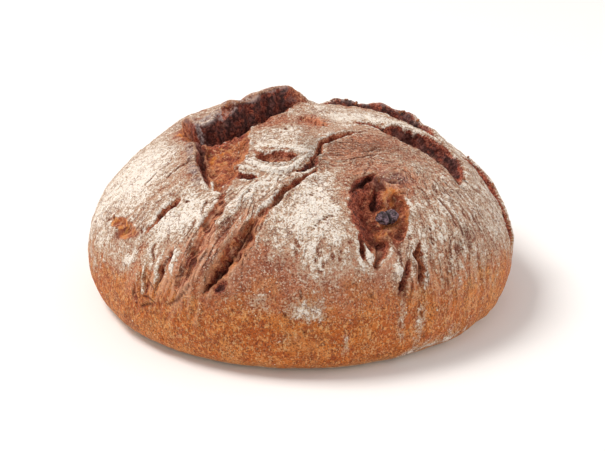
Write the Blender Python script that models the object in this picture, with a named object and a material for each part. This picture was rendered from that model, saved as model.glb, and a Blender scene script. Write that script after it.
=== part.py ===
"""Walnut bread loaf: a round, free-baked country loaf whose floured crust has torn open over the
top, with a piece of walnut showing in the largest tear.

Run with: blender --background --python part.py

The loaf stands on z = 0 with its middle over the origin. Its front, with the three long tears,
faces -Y. Every place on the crust is given on the crust map, in millimetres: a point's distance
from the map's middle is the length of crust between it and the loaf's top, and its direction is
the compass direction from the top, with u to the right (+X) and v to the back (+Y).
"""

import math
from typing import NamedTuple

import bmesh
import bpy
import numpy as np
from mathutils import noise

MM = 0.001

# Driving dimensions of the risen loaf, in millimetres.
LOAF_RADIUS = 115.5
DOME_HEIGHT = 71.5
WIDEST_LEVEL = 20.0
BASE_RADIUS = 101.0
DOME_FULLNESS = 2.2
FOOT_FULLNESS = 2.4

# The walnut piece in the largest tear.
WALNUT_SIZE = (12.0, 7.5, 7.0)
WALNUT_PLACE = (46.5, -80.0)
WALNUT_RISE = 1.0
WALNUT_CLEARANCE = 0.35
WALNUT_FURROW_DEPTH = 0.32
WALNUT_FURROW_WIDTH = 0.26
WALNUT_LUMPS = ((2.6, 0.10), (6.0, 0.05))

# How finely the dough is modelled before it is simplified, and how many triangles it keeps.
CUBE_DIVISIONS = 96
LOAF_TRIANGLES = 11000
MERIDIAN_STEPS = 400
ROUTE_PIECES = 14

CRUST_COLOUR = (0.52, 0.27, 0.12)
CRUST_ROUGHNESS = 0.75
WALNUT_COLOUR = (0.20, 0.11, 0.09)
WALNUT_ROUGHNESS = 0.5

TINY = 1e-9


class Tear(NamedTuple):
    """A tear in the crust, as it runs on the crust map. Left and right are seen along the route."""

    route: tuple
    half_width: float
    depth: float
    widest: float = 0.5
    lip: tuple = (0.0, 0.0)
    reach: tuple = (8.0, 8.0)
    wall: tuple = (2.0, 2.0)
    curl: tuple = (0.0, 0.0)


class Fold(NamedTuple):
    """A fold or strand of crust that stands up along its route."""

    route: tuple
    half_width: float
    height: float
    widest: float = 0.5


class Swell(NamedTuple):
    """A broad rise or sag of the dome, round (u, v)."""

    u: float
    v: float
    radius: float
    rise: float


SWELLS = (
    # The bulge of the left lobe and the flatter shoulder behind it.
    Swell(-92.0, -34.0, 32.0, 1.4),
    Swell(-118.0, 22.0, 48.0, -3.4),
    Swell(-134.0, 22.0, 20.0, 1.7),
    Swell(-136.0, -62.0, 26.0, -1.6),
    # The crest, the saddle behind it and the ragged rim over the far side.
    Swell(-5.5, 27.5, 10.5, 4.6),
    Swell(-44.0, 26.0, 12.0, -1.8),
    Swell(16.0, 66.0, 20.0, -7.0),
    Swell(23.0, 48.0, 7.0, 1.4),
    Swell(34.5, 47.0, 5.0, -3.0),
    Swell(49.0, 43.0, 8.0, 1.8),
    # The front and the right.
    Swell(-52.0, -84.0, 22.0, 1.6),
    Swell(8.0, -88.0, 24.0, 2.0),
    Swell(66.0, 44.0, 34.0, -1.4),
    Swell(108.0, 38.0, 34.0, -2.2),
    Swell(84.0, -62.0, 26.0, 1.6),
    Swell(128.0, -58.0, 30.0, 2.6),
    Swell(146.0, -34.0, 24.0, 1.0),
    Swell(112.0, -112.0, 28.0, 1.8),
    # The back.
    Swell(-20.0, 100.0, 40.0, 1.6),
    Swell(-112.0, 80.0, 34.0, -1.2),
    Swell(100.0, 96.0, 36.0, 1.2),
)

TEARS = (
    # The great tear over the top left, whose far lip stands up like a wall.
    Tear(
        ((-68, 18), (-60, 2), (-50, -15), (-38, -8), (-24, 4), (-8, 19), (9, 36)),
        8.5, 8.5, widest=0.5, lip=(9.0, 0.0), reach=(15.0, 8.0), wall=(5.0, 9.0), curl=(1.5, 0.0),
    ),
    # The saddle of bare dough in front of it, and the step down from the left lobe.
    Tear(((-34, 8), (-37, -20), (-38, -46), (-38, -72)), 12.5, 4.4, widest=0.38, wall=(7.0, 3.0)),
    Tear(
        ((-54, -12), (-50, -32), (-48, -50), (-43, -66)),
        3.2, 6.4, lip=(0.0, 2.6), reach=(8.0, 14.0), wall=(5.0, 2.6), curl=(0.0, 0.6),
    ),
    # The bare band that runs on from the saddle down the left front.
    Tear(
        ((-37, -68), (-43, -84), (-51, -97), (-62, -110), (-78, -117)),
        4.2, 1.5, widest=0.35, wall=(3.0, 3.0),
    ),
    # The long tear across the front: a narrow upper run, and a lower run that gapes.
    Tear(
        ((34, -12), (22, -23), (13, -32), (10, -44), (4, -52)),
        2.8, 2.6, lip=(0.6, 1.4), reach=(5.0, 6.0),
    ),
    Tear(
        ((12, -52), (5, -61), (-4, -71), (-12, -80), (-19, -92)),
        2.5, 2.0, lip=(0.8, 1.0), reach=(6.0, 6.0),
    ),
    Tear(
        ((-13, -81), (-23, -94), (-33, -105), (-45, -116), (-56, -122)),
        5.8, 2.2, widest=0.5, lip=(0.8, 1.0), reach=(6.0, 8.0), wall=(5.0, 3.0), curl=(0.0, 0.4),
    ),
    Tear(
        ((-33, -103), (-39, -110), (-46, -116), (-55, -121)),
        2.6, 7.5, widest=0.42, wall=(1.8, 1.5),
    ),
    Tear(((-23, -94), (-25, -97), (-26, -100)), 1.6, 3.0),
    Tear(((-28, -103), (-30, -106), (-33, -108)), 1.4, 2.4),
    Tear(((-37, -116), (-41, -120), (-45, -122)), 2.0, 2.6),
    # The great pit on the right front, its bays and the clefts below it.
    Tear(
        ((41, -59), (36, -68), (36, -80), (38, -92), (36, -106)),
        11.5, 7.0, widest=0.4, lip=(0.0, 1.2), reach=(8.0, 9.0), wall=(5.0, 10.0), curl=(0.0, 0.4),
    ),
    Tear(
        ((26, -72), (31, -62), (42, -53)),
        3.8, 6.5, lip=(1.2, 0.0), reach=(7.0, 6.0), wall=(2.2, 5.0), curl=(1.0, 0.0),
    ),
    Tear(
        ((49, -63), (50, -74), (50, -86), (50, -98)),
        8.0, 3.2, widest=0.42, lip=(1.0, 0.0), wall=(4.0, 7.0),
    ),
    Tear(((41, -60), (41, -66), (40, -73)), 2.6, 10.0, wall=(1.8, 1.8)),
    Tear(((44, -58), (48, -58), (53, -57)), 1.5, 3.0),
    Tear(((45, -90), (44, -100), (40, -112)), 3.6, 5.5, widest=0.4, wall=(1.8, 3.0)),
    Tear(((31, -94), (34, -103), (35, -111)), 2.2, 3.5, widest=0.35),
    Tear(((60, -96), (60, -108), (57, -121)), 2.2, 4.2, widest=0.6),
    Tear(((62, -84), (65, -95), (68, -104), (70, -112)), 3.4, 4.0, widest=0.65, wall=(1.5, 3.0)),
    # The dark tear high on the right, which starts as a slit and opens into a crater.
    Tear(((28, -1), (38, -1), (50, -5)), 1.9, 3.6, lip=(1.6, 0.0), reach=(6.0, 6.0)),
    Tear(
        ((42, -4), (54, -4), (66, -7), (76, -14), (83, -26), (86, -42)),
        9.5, 5.6, widest=0.46, lip=(3.0, 0.0), reach=(10.0, 8.0), wall=(3.5, 9.0), curl=(1.2, 0.0),
    ),
    # Tears over the far side of the top and down the right flank.
    Tear(
        ((12, 44), (26, 42), (42, 38), (58, 32), (74, 22), (88, 10)),
        4.6, 4.5, widest=0.42, lip=(3.5, 0.0), reach=(8.0, 8.0), wall=(2.5, 4.0), curl=(1.0, 0.0),
    ),
    Tear(
        ((88, 10), (102, 4), (115, -5), (125, -16), (132, -29), (137, -44)),
        6.6, 4.2, widest=0.42, lip=(1.5, 0.0), reach=(9.0, 8.0), wall=(2.8, 5.0), curl=(0.5, 0.0),
    ),
    Tear(
        ((6, 60), (-8, 78), (-26, 92), (-50, 100), (-74, 98)),
        7.5, 5.4, widest=0.45, lip=(2.0, 3.4), reach=(9.0, 11.0), wall=(5.0, 2.5), curl=(0.0, 1.2),
    ),
    Tear(((-30, 70), (-46, 66), (-62, 58), (-78, 44)), 4.2, 3.4, lip=(1.4, 1.0), wall=(2.5, 3.5)),
    Tear(
        ((44, 66), (52, 84), (54, 104), (48, 122)),
        5.4, 4.6, widest=0.4, lip=(2.4, 1.0), wall=(2.2, 4.0), curl=(0.8, 0.0),
    ),
    Tear(((88, 50), (98, 66), (102, 84)), 3.8, 3.2, lip=(1.2, 0.8)),
    Tear(((14, 96), (10, 112), (0, 128)), 2.8, 3.0, lip=(1.0, 0.6)),
    Tear(((-92, 60), (-104, 74), (-108, 92)), 3.0, 2.8, lip=(1.0, 0.6)),
    # Small tears on the left front.
    Tear(
        ((-106, -48), (-99, -57), (-94, -67), (-85, -77)),
        4.6, 1.5, widest=0.45, lip=(0.4, 0.4), reach=(4.0, 4.0), wall=(3.0, 3.0),
    ),
    Tear(
        ((-60, -65), (-68, -68), (-75, -73), (-86, -78)),
        2.5, 2.8, widest=0.4, lip=(0.6, 0.8), reach=(4.0, 4.0),
    ),
    Tear(((-64, -88), (-67, -95), (-68, -101)), 1.9, 2.6, widest=0.7),
    Tear(((-73, -96), (-76, -102), (-80, -106)), 2.2, 2.6),
    Tear(((-84, -99), (-88, -104), (-92, -107)), 1.8, 1.6),
    Tear(((-96, -96), (-101, -101), (-104, -108)), 1.6, 1.4),
    # The hollows between the folds on the top.
    Tear(
        ((-24, -38), (-16, -44), (-7, -46), (3, -42)),
        4.6, 2.4, lip=(0.4, 0.8), reach=(3.5, 4.0),
    ),
    Tear(((-2, -59), (4, -55), (9, -50), (12, -43)), 2.6, 2.2, wall=(1.6, 1.6)),
    Tear(
        ((-34, -56), (-27, -59), (-18, -60)),
        2.0, 3.0, lip=(1.6, 0.0), reach=(5.0, 4.0), curl=(0.6, 0.0),
    ),
    Tear(((2, 4), (9, -2), (16, -11)), 4.5, 1.6, wall=(3.0, 3.0)),
)

FOLDS = (
    # The two arms of the folded crust on the top.
    Fold(((-29, -38), (-25, -46), (-18, -53), (-10, -57), (-3, -55), (3, -48), (9, -42)), 3.2, 2.3),
    Fold(((-22, -33), (-11, -35), (-1, -39), (8, -43), (15, -40)), 2.4, 1.8),
    Fold(((-35, -50), (-29, -53), (-22, -55)), 3.2, 1.6),
    # The ridge between the saddle and the long tear, which splits into strands down the front.
    Fold(((-10, -64), (-21, -68), (-30, -77), (-37, -89), (-46, -102)), 4.6, 1.8),
    Fold(((-26, -86), (-36, -98), (-46, -109), (-58, -118)), 2.0, 1.5),
    Fold(((-33, -84), (-42, -96), (-53, -108), (-66, -118)), 1.8, 1.3),
    Fold(((-40, -84), (-47, -94), (-56, -104), (-68, -113)), 1.8, 1.0),
    # The strands that cross the upper run of the long tear and the pit.
    Fold(((-2, -72), (-9, -74), (-16, -80), (-24, -92)), 2.0, 1.3, widest=0.4),
    Fold(((34, -96), (36, -102), (38, -110)), 1.8, 1.8),
    Fold(((41, -59), (46, -54), (52, -50), (58, -51)), 2.6, 1.9),
    Fold(((42, -52), (48, -48), (54, -46)), 2.0, 1.2),
    Fold(((43, -62), (48, -64), (54, -63), (59, -58)), 1.8, 1.4),
    # Wrinkles on the lower left, under the left lobe.
    Fold(((-60, -94), (-66, -100), (-72, -110)), 2.2, 1.0),
    Fold(((-70, -90), (-77, -97), (-84, -108)), 2.2, 1.0),
    Fold(((-84, -92), (-90, -99), (-94, -108)), 2.0, 0.8),
    Fold(((30, -3), (44, 3), (58, 3), (72, -1)), 2.6, 1.0),
)

# The unevenness of the dough: (size, height) of each kind of lump.
LUMPS = ((46.0, 1.3), (19.0, 0.7), (8.0, 0.35))
LUMP_SHIFT = 7.3

# Which of its fields of vectors the noise draws.
NOISE_SEED = 4

# How the tears' edges wander on the crust map: (size, reach) of each kind of bend.
WANDERS = ((9.0, 1.6), (3.5, 0.6))

# The lips are craggy: how long a crag is, and how much higher or lower than the lip it can be.
CRAG_SIZE = 11.0
CRAG_SHARE = 0.6

# How blunt a tear's ends are, how soon its depth and lips fade there, and how near its edge the
# lips lean in.
GAPE_BLUNTNESS = 0.75
FADE_RATE = 1.25
LEAN_REACH = 0.35

# How far over the base rim the relief begins, so that the foot stays a clean round edge.
FOOT_MARGIN = 14.0


def smooth(x):
    """0 below 0, 1 above 1, and a smooth rise between them."""
    x = np.clip(x, 0.0, 1.0)
    return x * x * (3.0 - 2.0 * x)


def meridian():
    """The loaf's half section from its top to the middle of its base: crust length, radius and height."""
    turn = np.linspace(0.0, math.pi / 2, MERIDIAN_STEPS)
    dome_r = LOAF_RADIUS * np.sin(turn) ** (2 / DOME_FULLNESS)
    dome_z = WIDEST_LEVEL + DOME_HEIGHT * np.cos(turn) ** (2 / DOME_FULLNESS)
    foot_r = BASE_RADIUS + (LOAF_RADIUS - BASE_RADIUS) * np.cos(turn) ** (2 / FOOT_FULLNESS)
    foot_z = WIDEST_LEVEL - WIDEST_LEVEL * np.sin(turn) ** (2 / FOOT_FULLNESS)
    radius = np.concatenate([dome_r, foot_r[1:]])
    height = np.concatenate([dome_z, foot_z[1:]])
    length = np.concatenate([[0.0], np.cumsum(np.hypot(np.diff(radius), np.diff(height)))])
    rim = length[-1]
    return (
        np.append(length, rim + BASE_RADIUS),
        np.append(radius, 0.0),
        np.append(height, 0.0),
        rim,
    )


LENGTH, RADIUS, HEIGHT, RIM = meridian()


def on_dome(u, v):
    """The points of the smooth loaf at (u, v) of the crust map, in millimetres."""
    length = np.hypot(u, v)
    direction = np.arctan2(v, u)
    radius = np.interp(length, LENGTH, RADIUS)
    height = np.interp(length, LENGTH, HEIGHT)
    return np.stack([radius * np.cos(direction), radius * np.sin(direction), height], -1)


def normals(u, v):
    """The smooth loaf's outward normals there."""
    step = 0.4
    along_u = on_dome(u + step, v) - on_dome(u - step, v)
    along_v = on_dome(u, v + step) - on_dome(u, v - step)
    normal = np.cross(along_u, along_v)
    return normal / np.maximum(np.linalg.norm(normal, axis=-1, keepdims=True), TINY)


def rounded(route):
    """The route as a smooth curve through its points, which Catmull-Rom gives."""
    points = np.array(route, float)
    ends = np.vstack([2 * points[0] - points[1], points, 2 * points[-1] - points[-2]])
    share = np.linspace(0.0, 1.0, ROUTE_PIECES, endpoint=False)[:, None]
    runs = []
    for a, b, c, d in zip(ends, ends[1:], ends[2:], ends[3:]):
        bend = (2 * a - 5 * b + 4 * c - d) * share**2
        twist = (3 * b - a - 3 * c + d) * share**3
        runs.append(0.5 * (2 * b + (c - a) * share + bend + twist))
    return np.vstack([*runs, points[-1:]])


def across(tear, u, v):
    """How far outside the tear (or fold) each point is, how much it gapes there, the way out of it
    and whether that is to the left."""
    curve = rounded(tear.route)
    steps = np.linalg.norm(np.diff(curve, axis=0), axis=1)
    share = np.concatenate([[0.0], np.cumsum(steps)]) / steps.sum()
    turn = math.pi * share ** (math.log(0.5) / math.log(tear.widest))
    gape = np.clip(np.sin(turn), 0.0, 1.0) ** GAPE_BLUNTNESS
    best = np.full(u.shape, np.inf)
    gaping = np.zeros(u.shape)
    out_u = np.zeros(u.shape)
    out_v = np.zeros(u.shape)
    left = np.zeros(u.shape, bool)
    for a, b, gape_a, gape_b in zip(curve, curve[1:], gape, gape[1:]):
        run_u, run_v = b - a
        t = np.clip(((u - a[0]) * run_u + (v - a[1]) * run_v) / (run_u**2 + run_v**2), 0.0, 1.0)
        off_u, off_v = u - a[0] - t * run_u, v - a[1] - t * run_v
        far = np.hypot(off_u, off_v)
        here = gape_a + (gape_b - gape_a) * t
        outside = far - tear.half_width * here
        nearer = outside < best
        best = np.where(nearer, outside, best)
        gaping = np.where(nearer, here, gaping)
        out_u = np.where(nearer, off_u / (far + TINY), out_u)
        out_v = np.where(nearer, off_v / (far + TINY), out_v)
        left = np.where(nearer, run_u * off_v - run_v * off_u > 0, left)
    return best, gaping, out_u, out_v, left


def torn(u, v):
    """How high the crust stands over the smooth loaf and how far it is drawn sideways, from the
    tears and folds alone."""
    rise = np.zeros(u.shape)
    cut = np.zeros(u.shape)
    draw_u = np.zeros(u.shape)
    draw_v = np.zeros(u.shape)
    crag = [noise.noise((a / CRAG_SIZE, b / CRAG_SIZE, 3.7)) for a, b in zip(u, v)]
    crag = 1.0 + CRAG_SHARE * np.array(crag)
    for tear in TEARS:
        outside, gaping, out_u, out_v, left = across(tear, u, v)
        sides = (tear.lip, tear.reach, tear.wall, tear.curl)
        lip, reach, wall, curl = (np.where(left, *pair) for pair in sides)
        sunk = smooth(-outside / wall)
        fade = smooth(FADE_RATE * gaping)
        beyond = np.exp(-((np.maximum(outside, 0.0) / reach) ** 2)) * (1.0 - sunk)
        rise = np.maximum(rise, lip * crag * fade * beyond)
        cut = np.maximum(cut, tear.depth * sunk * fade)
        lean = curl * fade * np.exp(-((outside / (LEAN_REACH * reach)) ** 2)) * (1.0 - sunk)
        draw_u -= lean * out_u
        draw_v -= lean * out_v
    return rise - cut + folded(u, v), draw_u, draw_v


def folded(u, v):
    """How high the standing folds raise the crust."""
    rise = np.zeros(u.shape)
    for fold in FOLDS:
        outside = across(fold, u, v)[0]
        rise = np.maximum(rise, fold.height * smooth(-1.2 * outside / fold.half_width))
    return rise


def lumpy(points):
    """The dough's own unevenness at points in millimetres."""
    height = np.zeros(len(points))
    for index, (size, tall) in enumerate(LUMPS):
        shifted = points / size + LUMP_SHIFT * (index + 1)
        height += tall * np.array([noise.noise(p) for p in shifted])
    return height


def ragged(u, v):
    """The crust map with small wanders, so that the tears' edges aren't smooth."""
    places = np.stack([u, v, np.zeros(u.shape)], -1)
    wander = np.zeros(places.shape)
    for size, far in WANDERS:
        wander += far * np.array([noise.noise_vector(p / size) for p in places])
    return u + wander[:, 0], v + wander[:, 1]


def crust(u, v):
    """The torn loaf's surface at (u, v) of the crust map, in millimetres."""
    uneven_u, uneven_v = ragged(u, v)
    height, draw_u, draw_v = torn(uneven_u, uneven_v)
    for swell in SWELLS:
        height += swell.rise * np.exp(-((u - swell.u) ** 2 + (v - swell.v) ** 2) / swell.radius**2)
    height += lumpy(on_dome(u, v))
    flank = smooth((RIM - np.hypot(u, v)) / FOOT_MARGIN)
    moved_u, moved_v = u + draw_u * flank, v + draw_v * flank
    surface = on_dome(moved_u, moved_v) + normals(moved_u, moved_v) * (height * flank)[:, None]
    surface[:, 2] = np.maximum(surface[:, 2], 0.0)
    return surface


def cube_ball(divisions):
    """A cube with each face divided evenly: (mesh, direction of each vertex from the middle)."""
    shape = bmesh.new()
    bmesh.ops.create_cube(shape, size=2.0)
    bmesh.ops.subdivide_edges(shape, edges=shape.edges[:], cuts=divisions - 1, use_grid_fill=True)
    mesh = bpy.data.meshes.new("loaf")
    shape.to_mesh(mesh)
    shape.free()
    places = np.empty(len(mesh.vertices) * 3, np.float32)
    mesh.vertices.foreach_get("co", places)
    even = np.tan(places.reshape(-1, 3).astype(float) * math.pi / 4)
    return mesh, even / np.linalg.norm(even, axis=1, keepdims=True)


def map_places(directions):
    """Where on the crust map each direction from the ball's middle lands. The cube's bottom becomes
    the base."""
    right, back, up = directions.T
    compass = np.arctan2(back, right)
    polar = np.arccos(np.clip(up, -1.0, 1.0))
    edge = math.pi - np.arctan(1.0 / np.maximum(np.abs(np.cos(compass)), np.abs(np.sin(compass))))
    inward = np.maximum(np.abs(right), np.abs(back)) / np.maximum(-up, TINY)
    under = np.arctan(np.minimum(inward, 1.0)) * 4 / math.pi
    length = np.where(polar < edge, RIM * polar / edge, RIM + BASE_RADIUS * (1.0 - under))
    return length * np.cos(compass), length * np.sin(compass)


def finish(name, colour, roughness):
    material = bpy.data.materials.new(name)
    material.use_nodes = True
    shader = material.node_tree.nodes["Principled BSDF"]
    shader.inputs["Base Color"].default_value = (*colour, 1.0)
    shader.inputs["Roughness"].default_value = roughness
    shader.inputs["Metallic"].default_value = 0.0
    return material


def place(name, mesh, collection, material):
    piece = bpy.data.objects.new(name, mesh)
    collection.objects.link(piece)
    mesh.materials.append(material)
    return piece


def make_loaf(collection):
    mesh, directions = cube_ball(CUBE_DIVISIONS)
    surface = crust(*map_places(directions)) * MM
    mesh.vertices.foreach_set("co", surface.astype(np.float32).ravel())
    mesh.update()
    loaf = place("loaf", mesh, collection, finish("crust", CRUST_COLOUR, CRUST_ROUGHNESS))
    simpler = loaf.modifiers.new("simpler", "DECIMATE")
    simpler.ratio = LOAF_TRIANGLES / (12 * CUBE_DIVISIONS**2)
    return loaf


def walnut_mesh(name, grow):
    """A broken walnut lobe: a lumpy ball with a furrow over it, each half size made larger by grow."""
    shape = bmesh.new()
    bmesh.ops.create_icosphere(shape, subdivisions=3, radius=1.0)
    for vertex in shape.verts:
        way = vertex.co.normalized()
        furrow = math.exp(-((way.x / WALNUT_FURROW_WIDTH) ** 2)) * max(way.z, 0.0)
        lump = sum(tall * noise.noise(way * often) for often, tall in WALNUT_LUMPS)
        size = 1.0 - WALNUT_FURROW_DEPTH * furrow + lump
        vertex.co = [way[axis] * size * (WALNUT_SIZE[axis] / 2 + grow) * MM for axis in range(3)]
    mesh = bpy.data.meshes.new(name)
    shape.to_mesh(mesh)
    shape.free()
    return mesh


def make_walnut(collection, cutters, loaf):
    """The walnut piece, seated in a pocket that its own slightly larger shape cuts from the loaf."""
    u, v = (np.array([value]) for value in WALNUT_PLACE)
    out = normals(u, v)[0]
    middle = (crust(u, v)[0] + out * WALNUT_RISE) * MM
    turn = (math.acos(out[2]), 0.0, math.atan2(out[1], out[0]) + math.pi / 2)
    brown = finish("walnut", WALNUT_COLOUR, WALNUT_ROUGHNESS)
    walnut = place("walnut_piece", walnut_mesh("walnut_piece", 0.0), collection, brown)
    pocket = bpy.data.objects.new("walnut_pocket", walnut_mesh("walnut_pocket", WALNUT_CLEARANCE))
    cutters.objects.link(pocket)
    pocket.hide_render = True
    pocket.display_type = "WIRE"
    for piece in (walnut, pocket):
        piece.location = middle
        piece.rotation_euler = turn
    cut = loaf.modifiers.new("pocket", "BOOLEAN")
    cut.operation = "DIFFERENCE"
    cut.object = pocket
    return walnut


def main():
    for thing in list(bpy.data.objects):
        bpy.data.objects.remove(thing)
    noise.seed_set(NOISE_SEED)
    collection = bpy.data.collections.new("walnut_bread")
    cutters = bpy.data.collections.new("cutters")
    for group in (collection, cutters):
        bpy.context.scene.collection.children.link(group)
    loaf = make_loaf(collection)
    make_walnut(collection, cutters, loaf)


main()
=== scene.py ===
"""The looks of the walnut bread loaf: its floured, torn crust, the crumb in the tears and the walnut.

The loaf stands on z = 0 with its middle over the origin, and its front faces -Y. Every place on the crust is
given on the crust map, in millimetres: a point's distance from the map's middle is the length of crust from
it to the loaf's top, and its direction is the compass direction from the top, with u to the right (+X) and v
to the back (+Y).
"""

import math
from typing import NamedTuple

import bmesh
import bpy
import numpy as np
from mathutils import Matrix, Vector, noise


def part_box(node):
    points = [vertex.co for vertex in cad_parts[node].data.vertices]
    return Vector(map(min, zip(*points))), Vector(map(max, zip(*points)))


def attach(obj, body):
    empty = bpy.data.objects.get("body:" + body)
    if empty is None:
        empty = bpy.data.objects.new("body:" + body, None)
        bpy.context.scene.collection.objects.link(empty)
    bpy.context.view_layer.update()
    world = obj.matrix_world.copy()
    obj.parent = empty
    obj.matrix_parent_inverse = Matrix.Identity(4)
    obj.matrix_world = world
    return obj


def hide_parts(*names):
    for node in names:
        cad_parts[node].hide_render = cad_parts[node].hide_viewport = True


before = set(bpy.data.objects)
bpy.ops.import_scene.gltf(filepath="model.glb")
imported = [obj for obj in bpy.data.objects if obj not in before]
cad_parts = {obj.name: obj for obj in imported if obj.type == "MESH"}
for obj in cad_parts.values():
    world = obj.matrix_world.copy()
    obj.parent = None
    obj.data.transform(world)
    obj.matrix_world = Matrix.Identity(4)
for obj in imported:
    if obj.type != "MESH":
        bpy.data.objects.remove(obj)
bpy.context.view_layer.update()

MM = 0.001

# Driving dimensions of the risen loaf, in millimetres, as in part.py.
LOAF_RADIUS = 115.5
DOME_HEIGHT = 71.5
WIDEST_LEVEL = 20.0
BASE_RADIUS = 101.0
DOME_FULLNESS = 2.2
FOOT_FULLNESS = 2.4

# How finely the loaf is made: each side of the cube it is blown up from has this many faces along an edge.
# Then rounds and share of the evening out, and the steps of the meridian, of a normal and of a route.
CUBE_DIVISIONS = 139
EVEN_ROUNDS = 14
RELAXING = 0.35
MERIDIAN_STEPS = 400
NORMAL_STEP = 0.4
ROUTE_PIECES = 14

WALNUT_SIZE = (12.0, 7.5, 7.0)
WALNUT_PLACE = (46.5, -80.0)

# The camera, in metres and degrees.
CAMERA_TARGET = Vector((0.0025, 0.0, 0.030))
CAMERA_HEIGHT_DEG = 24.0
CAMERA_DISTANCE = 0.786
CAMERA_LENS_MM = 85.0
CAMERA_SENSOR_MM = 36.0

# The area lights, (name, place, size, watts, colour), the point they aim at, and the daylight's strength.
LIGHTS = (
    ("key", (-1.00, 0.15, 1.75), 0.8, 32.0, (1.0, 0.985, 0.96)),
    ("rim", (1.35, -0.10, 0.50), 1.0, 5.5, (1.0, 1.0, 1.0)),
)
LIGHTS_TARGET = Vector((0.0, 0.0, 0.03))
DAYLIGHT = 0.52

# The floor: its own faint glow, half its side and how far it lies under the loaf.
FLOOR_GLOW = 0.02
FLOOR_HALF = 4.0
FLOOR_GAP = 0.0003

WHITE = (1.0, 1.0, 1.0, 1.0)
SPECULAR = 0.3

# How many loose grains and flakes there are, and the seeds of the draws that place them. No grain lies lower
# than GRAINS_ABOVE. It and the flakes' thickness are in millimetres.
GRAINS = 4500
GRAINS_SEED = 11
GRAINS_ABOVE = 4.0
FLAKES = 36
FLAKES_SEED = 23
FLAKE_THICKNESS = 0.22


class Tear(NamedTuple):
    """A tear in the crust, as it runs on the crust map. Left and right are seen along the route.

    The pair before glow is how dark its two sides are: browned crust, and painted shade in deep slots and
    shadow lines.
    glow is how orange its floor is, and the pair after it how charred its two lips are, which also paints
    shade on the left lobe's rounded edge and on the pit's upper-left rim.
    """

    route: tuple
    half_width: float
    depth: float
    widest: float = 0.5
    lip: tuple = (0.0, 0.0)
    reach: tuple = (8.0, 8.0)
    wall: tuple = (2.0, 2.0)
    curl: tuple = (0.0, 0.0)
    bake: tuple = (0.35, 0.35)
    glow: float = 0.3
    char: tuple = (0.0, 0.0)


class Fold(NamedTuple):
    """A fold or strand of crust that stands up along its route."""

    route: tuple
    half_width: float
    height: float
    widest: float = 0.5


# The broad rises and sags of the dome: (u, v, radius, rise).
SWELLS = (
    # The bulge of the left lobe and the flatter shoulder behind it.
    (-92, -34, 32, 1.4), (-118, 22, 48, -3.4), (-134, 22, 20, 1.7), (-136, -62, 26, -1.6),
    # The crest, the saddle behind it and the ragged rim over the far side.
    (-5.5, 27.5, 10.5, 4.6), (-44, 26, 12, -1.8), (16, 66, 20, -7), (23, 48, 7, 1.4),
    (34.5, 47, 5, -3), (49, 43, 8, 1.8),
    # The front and the right.
    (-52, -84, 22, 1.6), (8, -88, 24, 2), (66, 44, 34, -1.4), (108, 38, 34, -2.2),
    (84, -62, 26, 1.6), (128, -58, 30, 2.6), (146, -34, 24, 1), (112, -112, 28, 1.8),
    # The back.
    (-20, 100, 40, 1.6), (-112, 80, 34, -1.2), (100, 96, 36, 1.2),
)

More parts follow.
